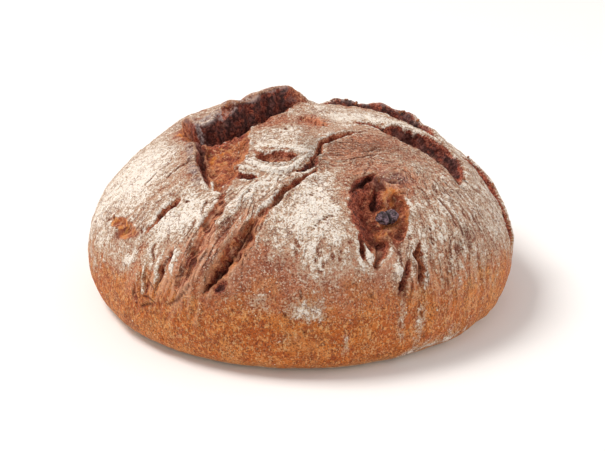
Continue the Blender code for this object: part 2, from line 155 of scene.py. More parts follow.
TEARS = (
    # The great tear over the top left, whose far lip stands up like a wall.
    Tear(((-68, 18), (-60, 2), (-50, -15), (-38, -8), (-24, 4), (-8, 19), (9, 36)), 8.5, 8.5, lip=(9, 0),
         reach=(15, 8), wall=(5, 9), curl=(1.5, 0), bake=(0.95, 0.25), glow=0.5, char=(0.9, 0)),
    # The saddle of bare dough in front of it, and the step down from the left lobe.
    Tear(((-34, 8), (-37, -20), (-38, -46), (-38, -72)), 12.5, 4.4, widest=0.38, wall=(7, 3),
         bake=(0.15, 0.15), glow=0.45),
    # The step's dark slot is painted shade under the overhanging left lobe, and the grey of its charred lip on
    # the lobe's side paints the shade on the lobe's rounded edge.
    Tear(((-54, -12), (-50, -32), (-48, -50), (-43, -66)), 3.2, 6.4, lip=(0, 2.6), reach=(8, 14),
         wall=(5, 2.6), curl=(0, 0.6), bake=(0.4, 0.95), glow=0.5, char=(0, 1)),
    # The bare band that runs on from the saddle down the left front.
    Tear(((-37, -68), (-43, -84), (-51, -97), (-62, -110), (-78, -117)), 4.2, 1.5, widest=0.35, wall=(3, 3),
         bake=(0.12, 0.12), glow=0.2),
    # The long tear across the front: a narrow upper run, and a lower run that gapes.
    Tear(((34, -12), (22, -23), (13, -32), (10, -44), (4, -52)), 2.8, 2.6, lip=(0.6, 1.4), reach=(5, 6),
         bake=(0.5, 0.5), glow=0.1),
    Tear(((12, -52), (5, -61), (-4, -71), (-12, -80), (-19, -92)), 2.5, 2, lip=(0.8, 1), reach=(6, 6),
         bake=(0.35, 0.35), glow=0.15),
    Tear(((-13, -81), (-23, -94), (-33, -105), (-45, -116), (-56, -122)), 5.8, 2.2, lip=(0.8, 1),
         reach=(6, 8), wall=(5, 3), curl=(0, 0.4), bake=(0.15, 0.25), glow=0.5),
    Tear(((-33, -103), (-39, -110), (-46, -116), (-55, -121)), 2.6, 7.5, widest=0.42, wall=(1.8, 1.5),
         bake=(0.9, 0.9), glow=0.6),
    Tear(((-23, -94), (-25, -97), (-26, -100)), 1.6, 3, bake=(0.8, 0.8), glow=0.4),
    Tear(((-28, -103), (-30, -106), (-33, -108)), 1.4, 2.4, bake=(0.8, 0.8), glow=0.4),
    Tear(((-37, -116), (-41, -120), (-45, -122)), 2, 2.6, bake=(0.7, 0.7), glow=0.6),
    # The great pit on the right front, its bays and the clefts below it.
    Tear(((41, -59), (36, -68), (36, -80), (38, -92), (36, -106)), 11.5, 7, widest=0.4, lip=(0, 1.2),
         reach=(8, 9), wall=(5, 10), curl=(0, 0.4), bake=(0.4, 0.8), glow=0.2, char=(0, 0.3)),
    # The slot under the pit's overhanging upper-left rim is painted dark as shade, and its charred lip paints
    # the soft shade where the rim curves in.
    Tear(((26, -72), (31, -62), (42, -53)), 3.8, 6.5, lip=(1.2, 0), reach=(7, 6), wall=(2.2, 5),
         curl=(1, 0), bake=(1, 0.8), glow=0, char=(0.5, 0)),
    Tear(((49, -63), (50, -74), (50, -86), (50, -98)), 8, 3.2, widest=0.42, lip=(1, 0), wall=(4, 7),
         bake=(0.45, 0.2), glow=0.6),
    # The deep slot and the slit beside it are painted dark as shade.
    Tear(((41, -60), (41, -66), (40, -73)), 2.6, 10, wall=(1.8, 1.8), bake=(1, 1), glow=0),
    Tear(((44, -58), (48, -58), (53, -57)), 1.5, 3, bake=(0.9, 0.9), glow=0),
    Tear(((45, -90), (44, -100), (40, -112)), 3.6, 5.5, widest=0.4, wall=(1.8, 3), bake=(0.7, 0.5)),
    Tear(((31, -94), (34, -103), (35, -111)), 2.2, 3.5, widest=0.35, bake=(0.7, 0.7)),
    Tear(((60, -96), (60, -108), (57, -121)), 2.2, 4.2, widest=0.6, bake=(0.8, 0.8)),
    Tear(((62, -84), (65, -95), (68, -104), (70, -112)), 3.4, 4, widest=0.65, wall=(1.5, 3)),
    # The dark tear high on the right, which starts as a slit and opens into a crater.
    Tear(((28, -1), (38, -1), (50, -5)), 1.9, 3.6, lip=(1.6, 0), reach=(6, 6), bake=(1, 1), glow=0),
    Tear(((42, -4), (54, -4), (66, -7), (76, -14), (83, -26), (86, -42)), 9.5, 5.6, widest=0.46, lip=(3, 0),
         reach=(10, 8), wall=(3.5, 9), curl=(1.2, 0), bake=(1, 0.45), glow=0.25, char=(0.25, 0.2)),
    # Tears over the far side of the top and down the right flank.
    Tear(((12, 44), (26, 42), (42, 38), (58, 32), (74, 22), (88, 10)), 4.6, 4.5, widest=0.42, lip=(3.5, 0),
         reach=(8, 8), wall=(2.5, 4), curl=(1, 0), bake=(0.9, 0.5), glow=0.2, char=(0.6, 0.2)),
    Tear(((88, 10), (102, 4), (115, -5), (125, -16), (132, -29), (137, -44)), 6.6, 4.2, widest=0.42,
         lip=(1.5, 0), reach=(9, 8), wall=(2.8, 5), curl=(0.5, 0), bake=(0.95, 0.25), glow=0.7,
         char=(0.2, 0)),
    Tear(((6, 60), (-8, 78), (-26, 92), (-50, 100), (-74, 98)), 7.5, 5.4, widest=0.45, lip=(2, 3.4),
         reach=(9, 11), wall=(5, 2.5), curl=(0, 1.2), bake=(0.4, 0.9), glow=0.4, char=(0.1, 0.6)),
    Tear(((-30, 70), (-46, 66), (-62, 58), (-78, 44)), 4.2, 3.4, lip=(1.4, 1), wall=(2.5, 3.5),
         bake=(0.6, 0.4)),
    Tear(((44, 66), (52, 84), (54, 104), (48, 122)), 5.4, 4.6, widest=0.4, lip=(2.4, 1), wall=(2.2, 4),
         curl=(0.8, 0), bake=(0.9, 0.4), glow=0.4, char=(0.4, 0)),
    Tear(((88, 50), (98, 66), (102, 84)), 3.8, 3.2, lip=(1.2, 0.8), glow=0.5),
    Tear(((14, 96), (10, 112), (0, 128)), 2.8, 3, lip=(1, 0.6), bake=(0.6, 0.4)),
    Tear(((-92, 60), (-104, 74), (-108, 92)), 3, 2.8, lip=(1, 0.6), glow=0.5),
    # Small tears on the left front.
    Tear(((-106, -48), (-99, -57), (-94, -67), (-85, -77)), 4.6, 1.5, widest=0.45, lip=(0.4, 0.4),
         reach=(4, 4), wall=(3, 3), bake=(0, 0), glow=1),
    Tear(((-60, -65), (-68, -68), (-75, -73), (-86, -78)), 2.5, 2.8, widest=0.4, lip=(0.6, 0.8),
         reach=(4, 4), bake=(0.5, 0.5), glow=0.5),
    Tear(((-64, -88), (-67, -95), (-68, -101)), 1.9, 2.6, widest=0.7, bake=(0.7, 0.7), glow=0.5),
    Tear(((-73, -96), (-76, -102), (-80, -106)), 2.2, 2.6, bake=(0.6, 0.6), glow=0.6),
    Tear(((-84, -99), (-88, -104), (-92, -107)), 1.8, 1.6, bake=(0.5, 0.5), glow=0.8),
    Tear(((-96, -96), (-101, -101), (-104, -108)), 1.6, 1.4, bake=(0.4, 0.4), glow=0.8),
    # The hollows between the folds on the top.
    Tear(((-24, -38), (-16, -44), (-7, -46), (3, -42)), 4.6, 2.4, lip=(0.4, 0.8), reach=(3.5, 4),
         bake=(0.25, 0.25), glow=0.1),
    # The gap under the lower arm of the fold is painted dark as shade, and so is the near-black line under the
    # grey lump at the fold's left end.
    Tear(((-2, -59), (4, -55), (9, -50), (12, -43)), 2.6, 2.2, wall=(1.6, 1.6), bake=(0.6, 0.6), glow=0),
    Tear(((-34, -56), (-27, -59), (-18, -60)), 2, 3, lip=(1.6, 0), reach=(5, 4), curl=(0.6, 0), bake=(1, 1),
         glow=0),
    Tear(((2, 4), (9, -2), (16, -11)), 4.5, 1.6, wall=(3, 3), bake=(0.15, 0.15), glow=0.1),
)

FOLDS = (
    # The two arms of the folded crust on the top.
    Fold(((-29, -38), (-25, -46), (-18, -53), (-10, -57), (-3, -55), (3, -48), (9, -42)), 3.2, 2.3),
    Fold(((-22, -33), (-11, -35), (-1, -39), (8, -43), (15, -40)), 2.4, 1.8),
    Fold(((-35, -50), (-29, -53), (-22, -55)), 3.2, 1.6),
    # The ridge between the saddle and the long tear, which splits into strands down the front.
    Fold(((-10, -64), (-21, -68), (-30, -77), (-37, -89), (-46, -102)), 4.6, 1.8),
    Fold(((-26, -86), (-36, -98), (-46, -109), (-58, -118)), 2.0, 1.5),
    Fold(((-33, -84), (-42, -96), (-53, -108), (-66, -118)), 1.8, 1.3),
    Fold(((-40, -84), (-47, -94), (-56, -104), (-68, -113)), 1.8, 1.0),
    # The strands that cross the upper run of the long tear and the pit.
    Fold(((-2, -72), (-9, -74), (-16, -80), (-24, -92)), 2.0, 1.3, widest=0.4),
    Fold(((34, -96), (36, -102), (38, -110)), 1.8, 1.8),
    Fold(((41, -59), (46, -54), (52, -50), (58, -51)), 2.6, 1.9),
    Fold(((42, -52), (48, -48), (54, -46)), 2.0, 1.2),
    Fold(((43, -62), (48, -64), (54, -63), (59, -58)), 1.8, 1.4),
    # Wrinkles on the lower left, under the left lobe.
    Fold(((-60, -94), (-66, -100), (-72, -110)), 2.2, 1.0),
    Fold(((-70, -90), (-77, -97), (-84, -108)), 2.2, 1.0),
    Fold(((-84, -92), (-90, -99), (-94, -108)), 2.0, 0.8),
    Fold(((30, -3), (44, 3), (58, 3), (72, -1)), 2.6, 1.0),
)

# Strands across the hollow between the folds, and the fibres of the saddle: finer than part.py's folds.
STRANDS = (
    Fold(((-23, -36), (-16, -41), (-8, -41), (2, -40)), 1.0, 1.5, widest=0.35),
    Fold(((-20, -41), (-12, -44), (-4, -44)), 0.8, 1.0),
    Fold(((-45, -4), (-40, -14), (-34, -22), (-28, -27)), 1.2, 0.9),
    Fold(((-46, -14), (-42, -24), (-40, -36)), 1.0, 0.9),
    Fold(((-34, -10), (-31, -20), (-32, -32), (-36, -46)), 1.1, 0.8),
)

# Fine cracks in the crust: half width, then the points of the route.
CRACKS = (
    (0.6, (2, -122), (2, -127), (1, -133)), (0.5, (3, -140), (4, -145), (5, -149)),
    (0.6, (28, -149), (30, -153), (30, -157)),
    (0.5, (57, -122), (60, -127), (63, -133), (67, -139)), (0.9, (-7, -136), (-6, -140)),
    (0.6, (74, -122), (77, -126)), (0.5, (6, -113), (5, -117), (4, -121)),
    (0.7, (10, -105), (10, -109), (9, -114)), (0.6, (14, -110), (13, -114), (12, -118)),
    (0.4, (18, -104), (18, -109), (19, -115)), (0.4, (4, -77), (7, -76), (10, -74)),
    (0.5, (7, -97), (10, -93), (14, -91)), (0.5, (10, -92), (15, -89), (20, -87)),
    (0.7, (-28, -80), (-26, -74), (-22, -71)), (0.7, (-46, -70), (-47, -76), (-49, -80)),
    (0.8, (-58, -69), (-55, -68)), (1.3, (-84, -71), (-84, -75)), (0.8, (-109, -45), (-105, -50)),
    (0.8, (-103, -109), (-95, -110), (-88, -113)),
    (0.8, (-82, -117), (-72, -118), (-63, -116), (-55, -111)),
    (0.8, (68, -58), (75, -61), (81, -66), (85, -73)), (0.7, (98, -71), (103, -76), (109, -84)),
    (0.6, (88, -75), (90, -79), (92, -83)), (0.6, (60, -56), (65, -58), (70, -61)),
    (0.6, (89, -57), (91, -59), (93, -62)), (0.5, (64, -72), (70, -80), (74, -90)),
    (0.5, (70, -74), (78, -82), (83, -92)), (0.9, (87, -12), (88, -17), (89, -22)),
    (0.7, (-88, -98), (-84, -104), (-83, -110)), (0.6, (-96, -104), (-90, -108), (-86, -116)),
    (0.7, (-70, -112), (-66, -108), (-60, -109)), (0.6, (-76, -84), (-79, -90), (-78, -96)),
    (0.5, (-2, -98), (0, -104), (-1, -110)), (0.5, (22, -98), (23, -104), (22, -112)),
    (0.7, (-7, -13), (-5, -18)), (0.9, (40, -122), (41, -126)), (1, (58, -88), (59, -91)),
    (0.5, (80, -92), (86, -100), (90, -108)), (0.6, (-52, -38), (-60, -42), (-70, -47)),
    (0.5, (-64, -30), (-74, -36), (-84, -44)), (0.7, (24, -48), (34, -40), (46, -34)),
    (0.7, (30, -38), (42, -28), (50, -24)), (0.7, (-20, 60), (-34, 52), (-52, 46)),
    (0.7, (70, 70), (82, 84), (86, 98)), (0.7, (-60, 116), (-70, 112), (-84, 104)),
)

# More or less of something in soft ovals: (u, v, long, short, turn in degrees from the u axis, amount).
# Where flour lies thicker or thinner than the loaf's even dusting.
FLOUR = (
    (-94, -26, 36, 38, 0, 0.66), (-57, -76, 15, 11, 10, 0.75), (-80, -86, 13, 7, 20, 0.12),
    (-84, -84, 9, 4, 20, -0.35), (-68, -52, 20, 6, 27, -0.28), (-62, -36, 14, 4, 27, -0.14),
    (-105, -44, 8, 12, 0, -0.35), (-24, -73, 26, 8, 43, 0.45), (-9, -22, 16, 9, 0, 0.28),
    (-20, -49, 12, 3.6, -42, 0.8), (0, -51, 12, 3.6, 40, 0.8), (-8, -34, 16, 2.6, -10, 0.7),
    (26, 10, 34, 13, -4, 0.40), (60, 10, 30, 9, -16, 0.35), (8, -1, 8, 12, 15, -0.75),
    (-14, -1, 10, 7, 45, -0.7), (-62, 5, 7, 13, 25, -0.8), (30, -31, 30, 10, 44, -0.50),
    (50, -52, 12, 9, 0, -0.65), (51, -63, 9, 3, 0, -0.6), (47, -66, 5, 5, 0, -1.2),
    # The first patch on the next line takes the flour off the pit's upper-left rim, so that the bare crust
    # there is painted shade where the rim curves in.
    (26, -64, 6, 14, -20, -0.45), (60, -30, 26, 8, -10, -0.25), (8, -82, 19, 27, 0, 0.55),
    (5, -135, 10, 5, 0, 0.85), (16, -115, 18, 9, 0, 0.30), (-46, -102, 28, 11, 50, -0.85),
    (-24, -106, 10, 12, 0, -0.22), (-4, -122, 24, 9, 0, -0.10), (104, -34, 28, 28, 0, 0.20),
    (112, -98, 40, 24, -40, 0.06), (76, -84, 20, 22, 0, 0.16), (36, -103, 2.6, 6.5, 0, 1.2),
    (77, -127, 4, 11, 15, 0.4), (64, -130, 2.5, 10, 15, 0.55), (31, -151, 2, 6, 0, 0.5),
    (78, -148, 12, 2.2, 48, 0.8), (100, -126, 26, 5, 45, 0.22), (90, -140, 14, 1.6, 45, 0.8),
    (108, -124, 12, 1.4, 50, 0.7), (-24, -130, 9, 5, 0, 0.4), (54, -108, 3, 8, 0, 0.6),
    (-98, -83, 8, 4, 0, 0.5), (20, 70, 26, 20, 0, 0.35), (-6, 32, 20, 7, 48, -0.9),
    (-30, 8, 16, 6, 40, -0.6), (52, 42, 34, 6, -16, -0.8), (-58, 22, 12, 8, 0, 0.2),
    (-80, 76, 24, 18, 0, 0.30), (88, 30, 24, 18, 0, 0.25), (-34, 40, 26, 16, 20, 0.20),
)

# Where the crust is baked darker or lighter than elsewhere, and where shade is painted: the patches along the
# great
# # tear's wall, from (-42, -19) to (-38, -2), darken the wall and paint the dark line of shade at its foot,
# the one at
# # (6, -53) paints the shade under the lower arm of the fold, and the one at (-10, -40) the shade at the top
# of the
# # hollow under the upper arm.
DARK = (
    (30, 46, 22, 5, -8, 0.8), (62, 36, 20, 5, -28, 0.6), (-42, -19, 9, 3.5, 25, 0.6),
    (-29, -11, 9, 3.5, 30, 0.6), (-18, 6, 18, 6, 50, 1.1), (-38, -2, 15, 6, 40, 1),
    (-37, -33, 6, 3, 0, 0.55), (6, -53, 9, 3, 50, 0.5), (-39, -80, 3, 3, 0, 0.5),
    (54, -94, 4, 6, 0, 0.3), (68, -14, 18, 9, -20, 0.35), (-42, -121, 5, 3, 0, 0.7),
    (-20, -84, 5, 4, 0, 0.35), (36, -90, 4, 6, 0, 0.35), (-44, -98, 26, 10, 50, -0.45),
    (-10, -40, 12, 2, -10, 0.5), (-36, -26, 9, 22, 0, -0.20),
)

GLOW = (
    (-60, 2, 6, 16, 28, 1.5), (-43, -25, 5, 12, -20, 1.5), (-46, -12, 6, 7, 0, 1),
    (-38, -62, 6, 6, 0, 0.5), (47, -66, 4, 8, 0, 1.2), (43, -90, 4, 7, 0, 0.9),
    (55, -78, 3, 6, -30, 0.6), (38, -102, 2.5, 7, 0, 0.7), (124, -16, 9, 14, 30, 0.8),
    (-84, -100, 12, 8, 0, 0.35),
)

# Where burnt crust is dusted grey, and where the crust is mauve: thin crust, and painted shade under the lower
# arm of
# # the fold at (0, -52) and along the left lobe's rounded edge at (-56, -14) and (-50, -34).
SILVER = (
    (-45, 1, 8, 4, 49, 1), (-34, 14, 7, 4, 49, 0.9), (-18, 28, 8, 3.5, 45, 0.8),
    (-53, -8, 8, 2.5, 62, 0.9), (-27, -52, 6, 3, -20, 0.8), (56, 6, 12, 3, -14, 0.6),
    (40, 46, 24, 4, -10, 0.5),
)

MAUVE = (
    (-56, -14, 14, 3, -62, 0.9), (-50, -34, 10, 2.5, -72, 0.7), (0, -52, 9, 3, 42, 0.9),
    (50, -54, 9, 6, 0, 1), (40, -60, 6, 4, 40, 0.5), (60, 0, 12, 3, -10, 0.7),
    (-20, 60, 30, 14, 0, 0.4),
)

# Where the dough was drawn out into long folds: it shows the stretching most.
DRAWN = (
    (-46, -100, 32, 15, 50, 1), (-26, -76, 28, 12, 45, 0.6), (26, -34, 34, 14, 42, 0.7),
    (84, -70, 34, 42, 0, 0.75), (12, -108, 20, 12, 0, 0.55), (-70, -50, 26, 12, 27, 0.4),
    (-38, -34, 12, 26, 0, -0.9), (44, -76, 13, 20, 0, -1.2), (52, -50, 20, 12, 20, 0.6),
    (-86, -104, 24, 14, 0, 0.7), (54, -104, 18, 14, 0, 0.6), (-30, 90, 40, 20, 20, 0.6),
    (50, 90, 20, 34, 0, 0.6),
)

# Where the torn dough is smooth instead of crumbly.
CALM = (
    (-99, -58, 12, 8, -60, 1), (-90, -72, 10, 7, -60, 1), (29, -82, 6, 18, 0, 0.7),
)

# The unevenness of the dough: (size, height) of each kind of lump, and of the finer relief of crust and
# crumb.
LUMPS = ((46.0, 1.3), (19.0, 0.7), (8.0, 0.35))
PEEL = ((6.0, 0.40), (3.2, 0.34), (1.9, 0.18))
CRUMB = ((6.5, 1.5), (4.0, 1.9), (3.0, 0.9))

# Which of its fields of vectors the noise draws, the same as in part.py.
NOISE_SEED = 4

# How the tears' edges wander on the crust map: (size, reach, change with height) of each kind of bend. The
# stretch marks and the cracks wander too: (size, reach).
WANDERS = ((9.0, 1.6, 0.0), (5.0, 0.9, 1.0), (3.0, 0.25, 1.0))
STRETCH_WANDERS = ((24.0, 5.0), (8.0, 1.4))
CRACK_WANDER = (4.0, 1.1)

# How full a tear's outline is towards its ends, and how much and how widely its lips' height varies.
GAPE_FULLNESS = 0.75
CRAG_SHARE = 0.6
CRAG_SIZE = 11.0

# Hollows beside fine relief and beside broad relief: (rounds of smoothing, depth that counts as full).
HOLLOWS = {"hollow": (3, 0.7), "sunken": (24, 2.6)}

# How far the surface turns from the dome before its stretch marks fade, and over how much more they do.
STEEP_FROM = 0.12
STEEP_FADE = 0.25

# What is worked out for the tears at each point of the crust map.
TEAR_SHEETS = ("rise", "cut", "draw_u", "draw_v", "open", "bake", "glow", "char", "margin")

# The fine relief of burnt crust, of the bands between creases, of cracks and of flour, in millimetres.
CHAR_RELIEF = 1.0
BAND_RELIEF = 1.05
CRACK_RELIEF = 1.1
FLOUR_RELIEF = 0.20

# The points on the crust map that the stretch marks run out from, on the left and on the right.
STRETCH_CENTRES = ((6.0, -34.0), (50.0, -24.0))
STRETCH_RADIUS = 62.0
# How far from those points the marks fade out, and how fast they change along their run: (ease, change).
BANDS_RUN = (22.0, 0.16)
FIBRES_RUN = (6.0, 0.05)

# The even dusting ends this far along the crust from the top, less at the front, where the flank is bare.
FLOUR_LINE = 148.0
FLOUR_LINE_DIP = 36.0
FLOUR_LINE_SPREAD = math.radians(58.0)


def smooth(x):
    """0 below 0, 1 above 1, and a smooth rise between them."""
    x = np.clip(x, 0.0, 1.0)
    return x * x * (3.0 - 2.0 * x)


def meridian():
    """The loaf's half section from its top to the middle of its base: crust length, radius and height."""
    turn = np.linspace(0.0, math.pi / 2, MERIDIAN_STEPS)
    dome_r = LOAF_RADIUS * np.sin(turn) ** (2 / DOME_FULLNESS)
    dome_z = WIDEST_LEVEL + DOME_HEIGHT * np.cos(turn) ** (2 / DOME_FULLNESS)
    foot_r = BASE_RADIUS + (LOAF_RADIUS - BASE_RADIUS) * np.cos(turn) ** (2 / FOOT_FULLNESS)
    foot_z = WIDEST_LEVEL - WIDEST_LEVEL * np.sin(turn) ** (2 / FOOT_FULLNESS)
    radius = np.concatenate([dome_r, foot_r[1:]])
    height = np.concatenate([dome_z, foot_z[1:]])
    length = np.concatenate([[0.0], np.cumsum(np.hypot(np.diff(radius), np.diff(height)))])
    rim = length[-1]
    return np.append(length, rim + BASE_RADIUS), np.append(radius, 0.0), np.append(height, 0.0), rim


LENGTH, RADIUS, HEIGHT, RIM = meridian()


def on_dome(u, v):
    """The points of the smooth loaf at (u, v) of the crust map, in millimetres."""
    length = np.hypot(u, v)
    direction = np.arctan2(v, u)
    radius = np.interp(length, LENGTH, RADIUS)
    height = np.interp(length, LENGTH, HEIGHT)
    return np.stack([radius * np.cos(direction), radius * np.sin(direction), height], -1)


def normals(u, v):
    """The smooth loaf's outward normals there."""
    along_u = on_dome(u + NORMAL_STEP, v) - on_dome(u - NORMAL_STEP, v)
    along_v = on_dome(u, v + NORMAL_STEP) - on_dome(u, v - NORMAL_STEP)
    normal = np.cross(along_u, along_v)
    return normal / np.maximum(np.linalg.norm(normal, axis=-1, keepdims=True), 1e-9)


def rounded(route):
    """The route as a smooth curve through its points, which Catmull-Rom gives."""
    points = np.array(route, float)
    ends = np.vstack([2 * points[0] - points[1], points, 2 * points[-1] - points[-2]])
    share = np.linspace(0.0, 1.0, ROUTE_PIECES, endpoint=False)[:, None]
    runs = []
    for a, b, c, d in zip(ends, ends[1:], ends[2:], ends[3:]):
        bend = 2 * a - 5 * b + 4 * c - d
        twist = 3 * b - a - 3 * c + d
        runs.append(0.5 * (2 * b + (c - a) * share + bend * share**2 + twist * share**3))
    return np.vstack([*runs, points[-1:]])


def across(route, half_width, widest, u, v):
    """How far outside the tear each point is, how much it gapes there, the way out of it and whether that is
    left of the route."""
    curve = rounded(route)
    steps = np.linalg.norm(np.diff(curve, axis=0), axis=1)
    share = np.concatenate([[0.0], np.cumsum(steps)]) / steps.sum()
    turn = math.pi * share ** (math.log(0.5) / math.log(widest))
    gape = np.clip(np.sin(turn), 0.0, 1.0) ** GAPE_FULLNESS
    best = [np.full(u.shape, 1e9), *(np.zeros(u.shape) for _ in range(4))]
    for a, b, gape_a, gape_b in zip(curve, curve[1:], gape, gape[1:]):
        run_u, run_v = b - a
        t = np.clip(((u - a[0]) * run_u + (v - a[1]) * run_v) / (run_u**2 + run_v**2), 0.0, 1.0)
        off_u, off_v = u - a[0] - t * run_u, v - a[1] - t * run_v
        far = np.hypot(off_u, off_v)
        gaping = gape_a + (gape_b - gape_a) * t
        left = run_u * off_v - run_v * off_u > 0
        here = (far - half_width * gaping, gaping, off_u / (far + 1e-6), off_v / (far + 1e-6), left)
        nearer = here[0] < best[0]
        best = [np.where(nearer, new, old) for new, old in zip(here, best)]
    return best


def near(route, margin, u, v):
    """The points within the margin of the route's box."""
    points = np.array(route, float)
    low, high = points.min(0) - margin, points.max(0) + margin
    return np.nonzero((u > low[0]) & (u < high[0]) & (v > low[1]) & (v < high[1]))[0]


def flat(u, v, height=0.0):
    """(u, v) of the crust map as points in space, for the noise."""
    return np.stack([u, v, np.zeros(u.shape) + height], -1)


def sampled(points, size, shift=0.0):
    """Noise between about -1 and 1 whose lumps are this size, at each point."""
    return np.array([noise.noise(p) for p in points / size + shift])


def wandering(points, size, reach):
    """A vector of up to about this reach at each point, which bends over this size."""
    return reach * np.array([noise.noise_vector(p / size) for p in points])


def raised(sheet, i, values):
    """Raises the sheet to the values at its points i."""
    sheet[i] = np.maximum(sheet[i], values)


def torn(u, v):
    """The tears' relief, in millimetres, and how open, dark, orange and charred they leave each point. The
    darkness is browned crust and painted shade in deep slots and shadow lines; the charring also paints shade
    on some edges.
    """
    places = np.stack([u / CRAG_SIZE, v / CRAG_SIZE, np.full(u.shape, 3.7)], -1)
    crag = 1.0 + CRAG_SHARE * np.array([noise.noise(place) for place in places])
    sheets = {name: np.zeros(u.shape) for name in TEAR_SHEETS}
    for tear in TEARS:
        i = near(tear.route, tear.half_width + 3.2 * max(tear.reach) + 4.0, u, v)
        outside, gaping, out_u, out_v, left = across(tear.route, tear.half_width, tear.widest, u[i], v[i])
        sides = (tear.lip, tear.reach, tear.wall, tear.curl, tear.char)
        lip, reach, wall, curl, char = (np.where(left, *pair) for pair in sides)
        sunk = smooth(-outside / wall)
        edge = np.maximum(outside, 0.0)
        fade = smooth(1.25 * gaping)
        lean = curl * fade * np.exp(-((outside / (0.35 * reach)) ** 2)) * (1.0 - sunk)
        sheets["draw_u"][i] -= lean * out_u
        sheets["draw_v"][i] -= lean * out_v
        from_route = (outside + tear.half_width * gaping) * np.where(left, 1.0, -1.0)
        leftness = smooth(0.5 + 0.5 * from_route / (0.6 * tear.half_width))
        bake = tear.bake[1] + (tear.bake[0] - tear.bake[1]) * leftness
        inside = smooth(0.42 - outside / (0.8 * np.minimum(wall, 3.0))) * fade
        raised(sheets["rise"], i, lip * crag[i] * fade * np.exp(-((edge / reach) ** 2)) * (1.0 - sunk))
        raised(sheets["cut"], i, tear.depth * sunk * fade)
        raised(sheets["open"], i, inside)
        raised(sheets["bake"], i, bake * inside)
        raised(sheets["glow"], i, tear.glow * inside * (1.0 - 0.8 * bake * sunk))
        raised(sheets["char"], i, char * fade * np.exp(-((edge / (0.55 * reach)) ** 2)))
        raised(sheets["margin"], i, fade * np.exp(-((edge / 3.0) ** 2)))
    standing, sheets["fold"] = folded(u, v)
    sheets["rise"] += standing - sheets["cut"]
    return sheets


def folded(u, v):
    """How high the standing folds raise the crust, in millimetres, and how much of a fold each point is."""
    rise, share = np.zeros(u.shape), np.zeros(u.shape)
    for fold in FOLDS + STRANDS:
        i = near(fold.route, fold.half_width + 4.0, u, v)
        outside = across(fold.route, fold.half_width, fold.widest, u[i], v[i])[0]
        standing = smooth(-1.2 * outside / fold.half_width)
        raised(rise, i, fold.height * standing)
        raised(share, i, standing)
    return rise, share


def ragged(u, v, level):
    """The crust map with small wanders, so that the tears' edges aren't smooth. The smaller ones differ with
    the level, in millimetres, so that a wall is lumpy all the way down and not ribbed."""
    wander = sum(wandering(flat(u, v, rising * level), size, far) for size, far, rising in WANDERS)
    return u + wander[:, 0], v + wander[:, 1]


def crust(u, v, level):
    """The torn loaf's surface at (u, v) of the crust map, in millimetres, and what the tears do there."""
    tears = torn(*ragged(u, v, level))
    height = tears["rise"].copy()
    for at_u, at_v, radius, rise in SWELLS:
        height += rise * np.exp(-((u - at_u) ** 2 + (v - at_v) ** 2) / radius**2)
    smooth_points = on_dome(u, v)
    for index, (size, tall) in enumerate(LUMPS):
        height += tall * sampled(smooth_points, size, 7.3 * (index + 1))
    flank = smooth((RIM - np.hypot(u, v)) / 14.0)
    moved_u, moved_v = u + tears["draw_u"] * flank, v + tears["draw_v"] * flank
    surface = on_dome(moved_u, moved_v) + normals(moved_u, moved_v) * (height * flank)[:, None]
    surface[:, 2] = np.maximum(surface[:, 2], 0.0)
    return surface, tears


def patches(wanted, u, v):
    """The sum of the patches at each point."""
    total = np.zeros(u.shape)
    for at_u, at_v, long, short, turn_deg, amount in wanted:
        turn = math.radians(turn_deg)
        off_u, off_v = u - at_u, v - at_v
        along = (off_u * math.cos(turn) + off_v * math.sin(turn)) / long
        aside = (off_v * math.cos(turn) - off_u * math.sin(turn)) / short
        total += amount * np.exp(-(along**2 + aside**2))
    return total


def stretch(u, v, ease, change):
    """Coordinates along and across the way the dough was drawn: noise in them makes stretch marks."""
    wander = sum(wandering(flat(u, v), size, far) for size, far in STRETCH_WANDERS)
    rightness = smooth((u - 8.0) / 50.0)
    (left_u, left_v), (right_u, right_v) = STRETCH_CENTRES
    off_u = u + wander[:, 0] - left_u - (right_u - left_u) * rightness
    off_v = v + wander[:, 1] - left_v - (right_v - left_v) * rightness
    far = np.hypot(off_u, off_v)
    spread = STRETCH_RADIUS / (far + ease)
    return np.stack([spread * off_u, spread * off_v, change * far], -1)


def flour_on(u, v, tears):
    """How much flour lies at each point, from 0 to 1."""
    direction = np.arctan2(v, u)
    off_front = np.abs(np.angle(np.exp(1j * (direction + math.pi / 2))))
    line = FLOUR_LINE - FLOUR_LINE_DIP * np.exp(-((off_front / FLOUR_LINE_SPREAD) ** 2))
    places = flat(u, v)
    line += 7.0 * sampled(places, 16.0, 3.1) + 4.0 * sampled(places, 7.0, 9.4)
    even = 0.54 * smooth((line - np.hypot(u, v)) / 36.0 + 0.5)
    even += 0.14 * sampled(places, 12.0, 21.0)
    flour = even + 1.15 * patches(FLOUR, u, v) + 0.35 * tears["fold"]
    flour *= 1.0 - smooth(1.15 * tears["open"] - 0.5 * tears["fold"])
    flour *= (1.0 - 0.35 * tears["margin"]) * (1.0 - 0.8 * tears["char"])
    return np.clip(flour, 0.0, 1.3)


def cracked(u, v):
    """How deep in a fine crack each point is, from 0 to 1."""
    wander = wandering(flat(u, v), *CRACK_WANDER)
    crooked_u, crooked_v = u + wander[:, 0], v + wander[:, 1]
    depth = np.zeros(u.shape)
    for half_width, *route in CRACKS:
        i = near(route, 5.0, crooked_u, crooked_v)
        outside, gaping, *_ = across(route, half_width, 0.5, crooked_u[i], crooked_v[i])
        raised(depth, i, 0.75 * smooth(0.35 - outside / 0.8) * smooth(1.6 * gaping))
    return depth


def read(items, name, kind=np.float32):
    """A property of all of a mesh's points or edges, one row for each."""
    width = 2 if kind is np.int32 else 3
    values = np.empty(len(items) * width, kind)
    items.foreach_get(name, values)
    return values.reshape(-1, width)


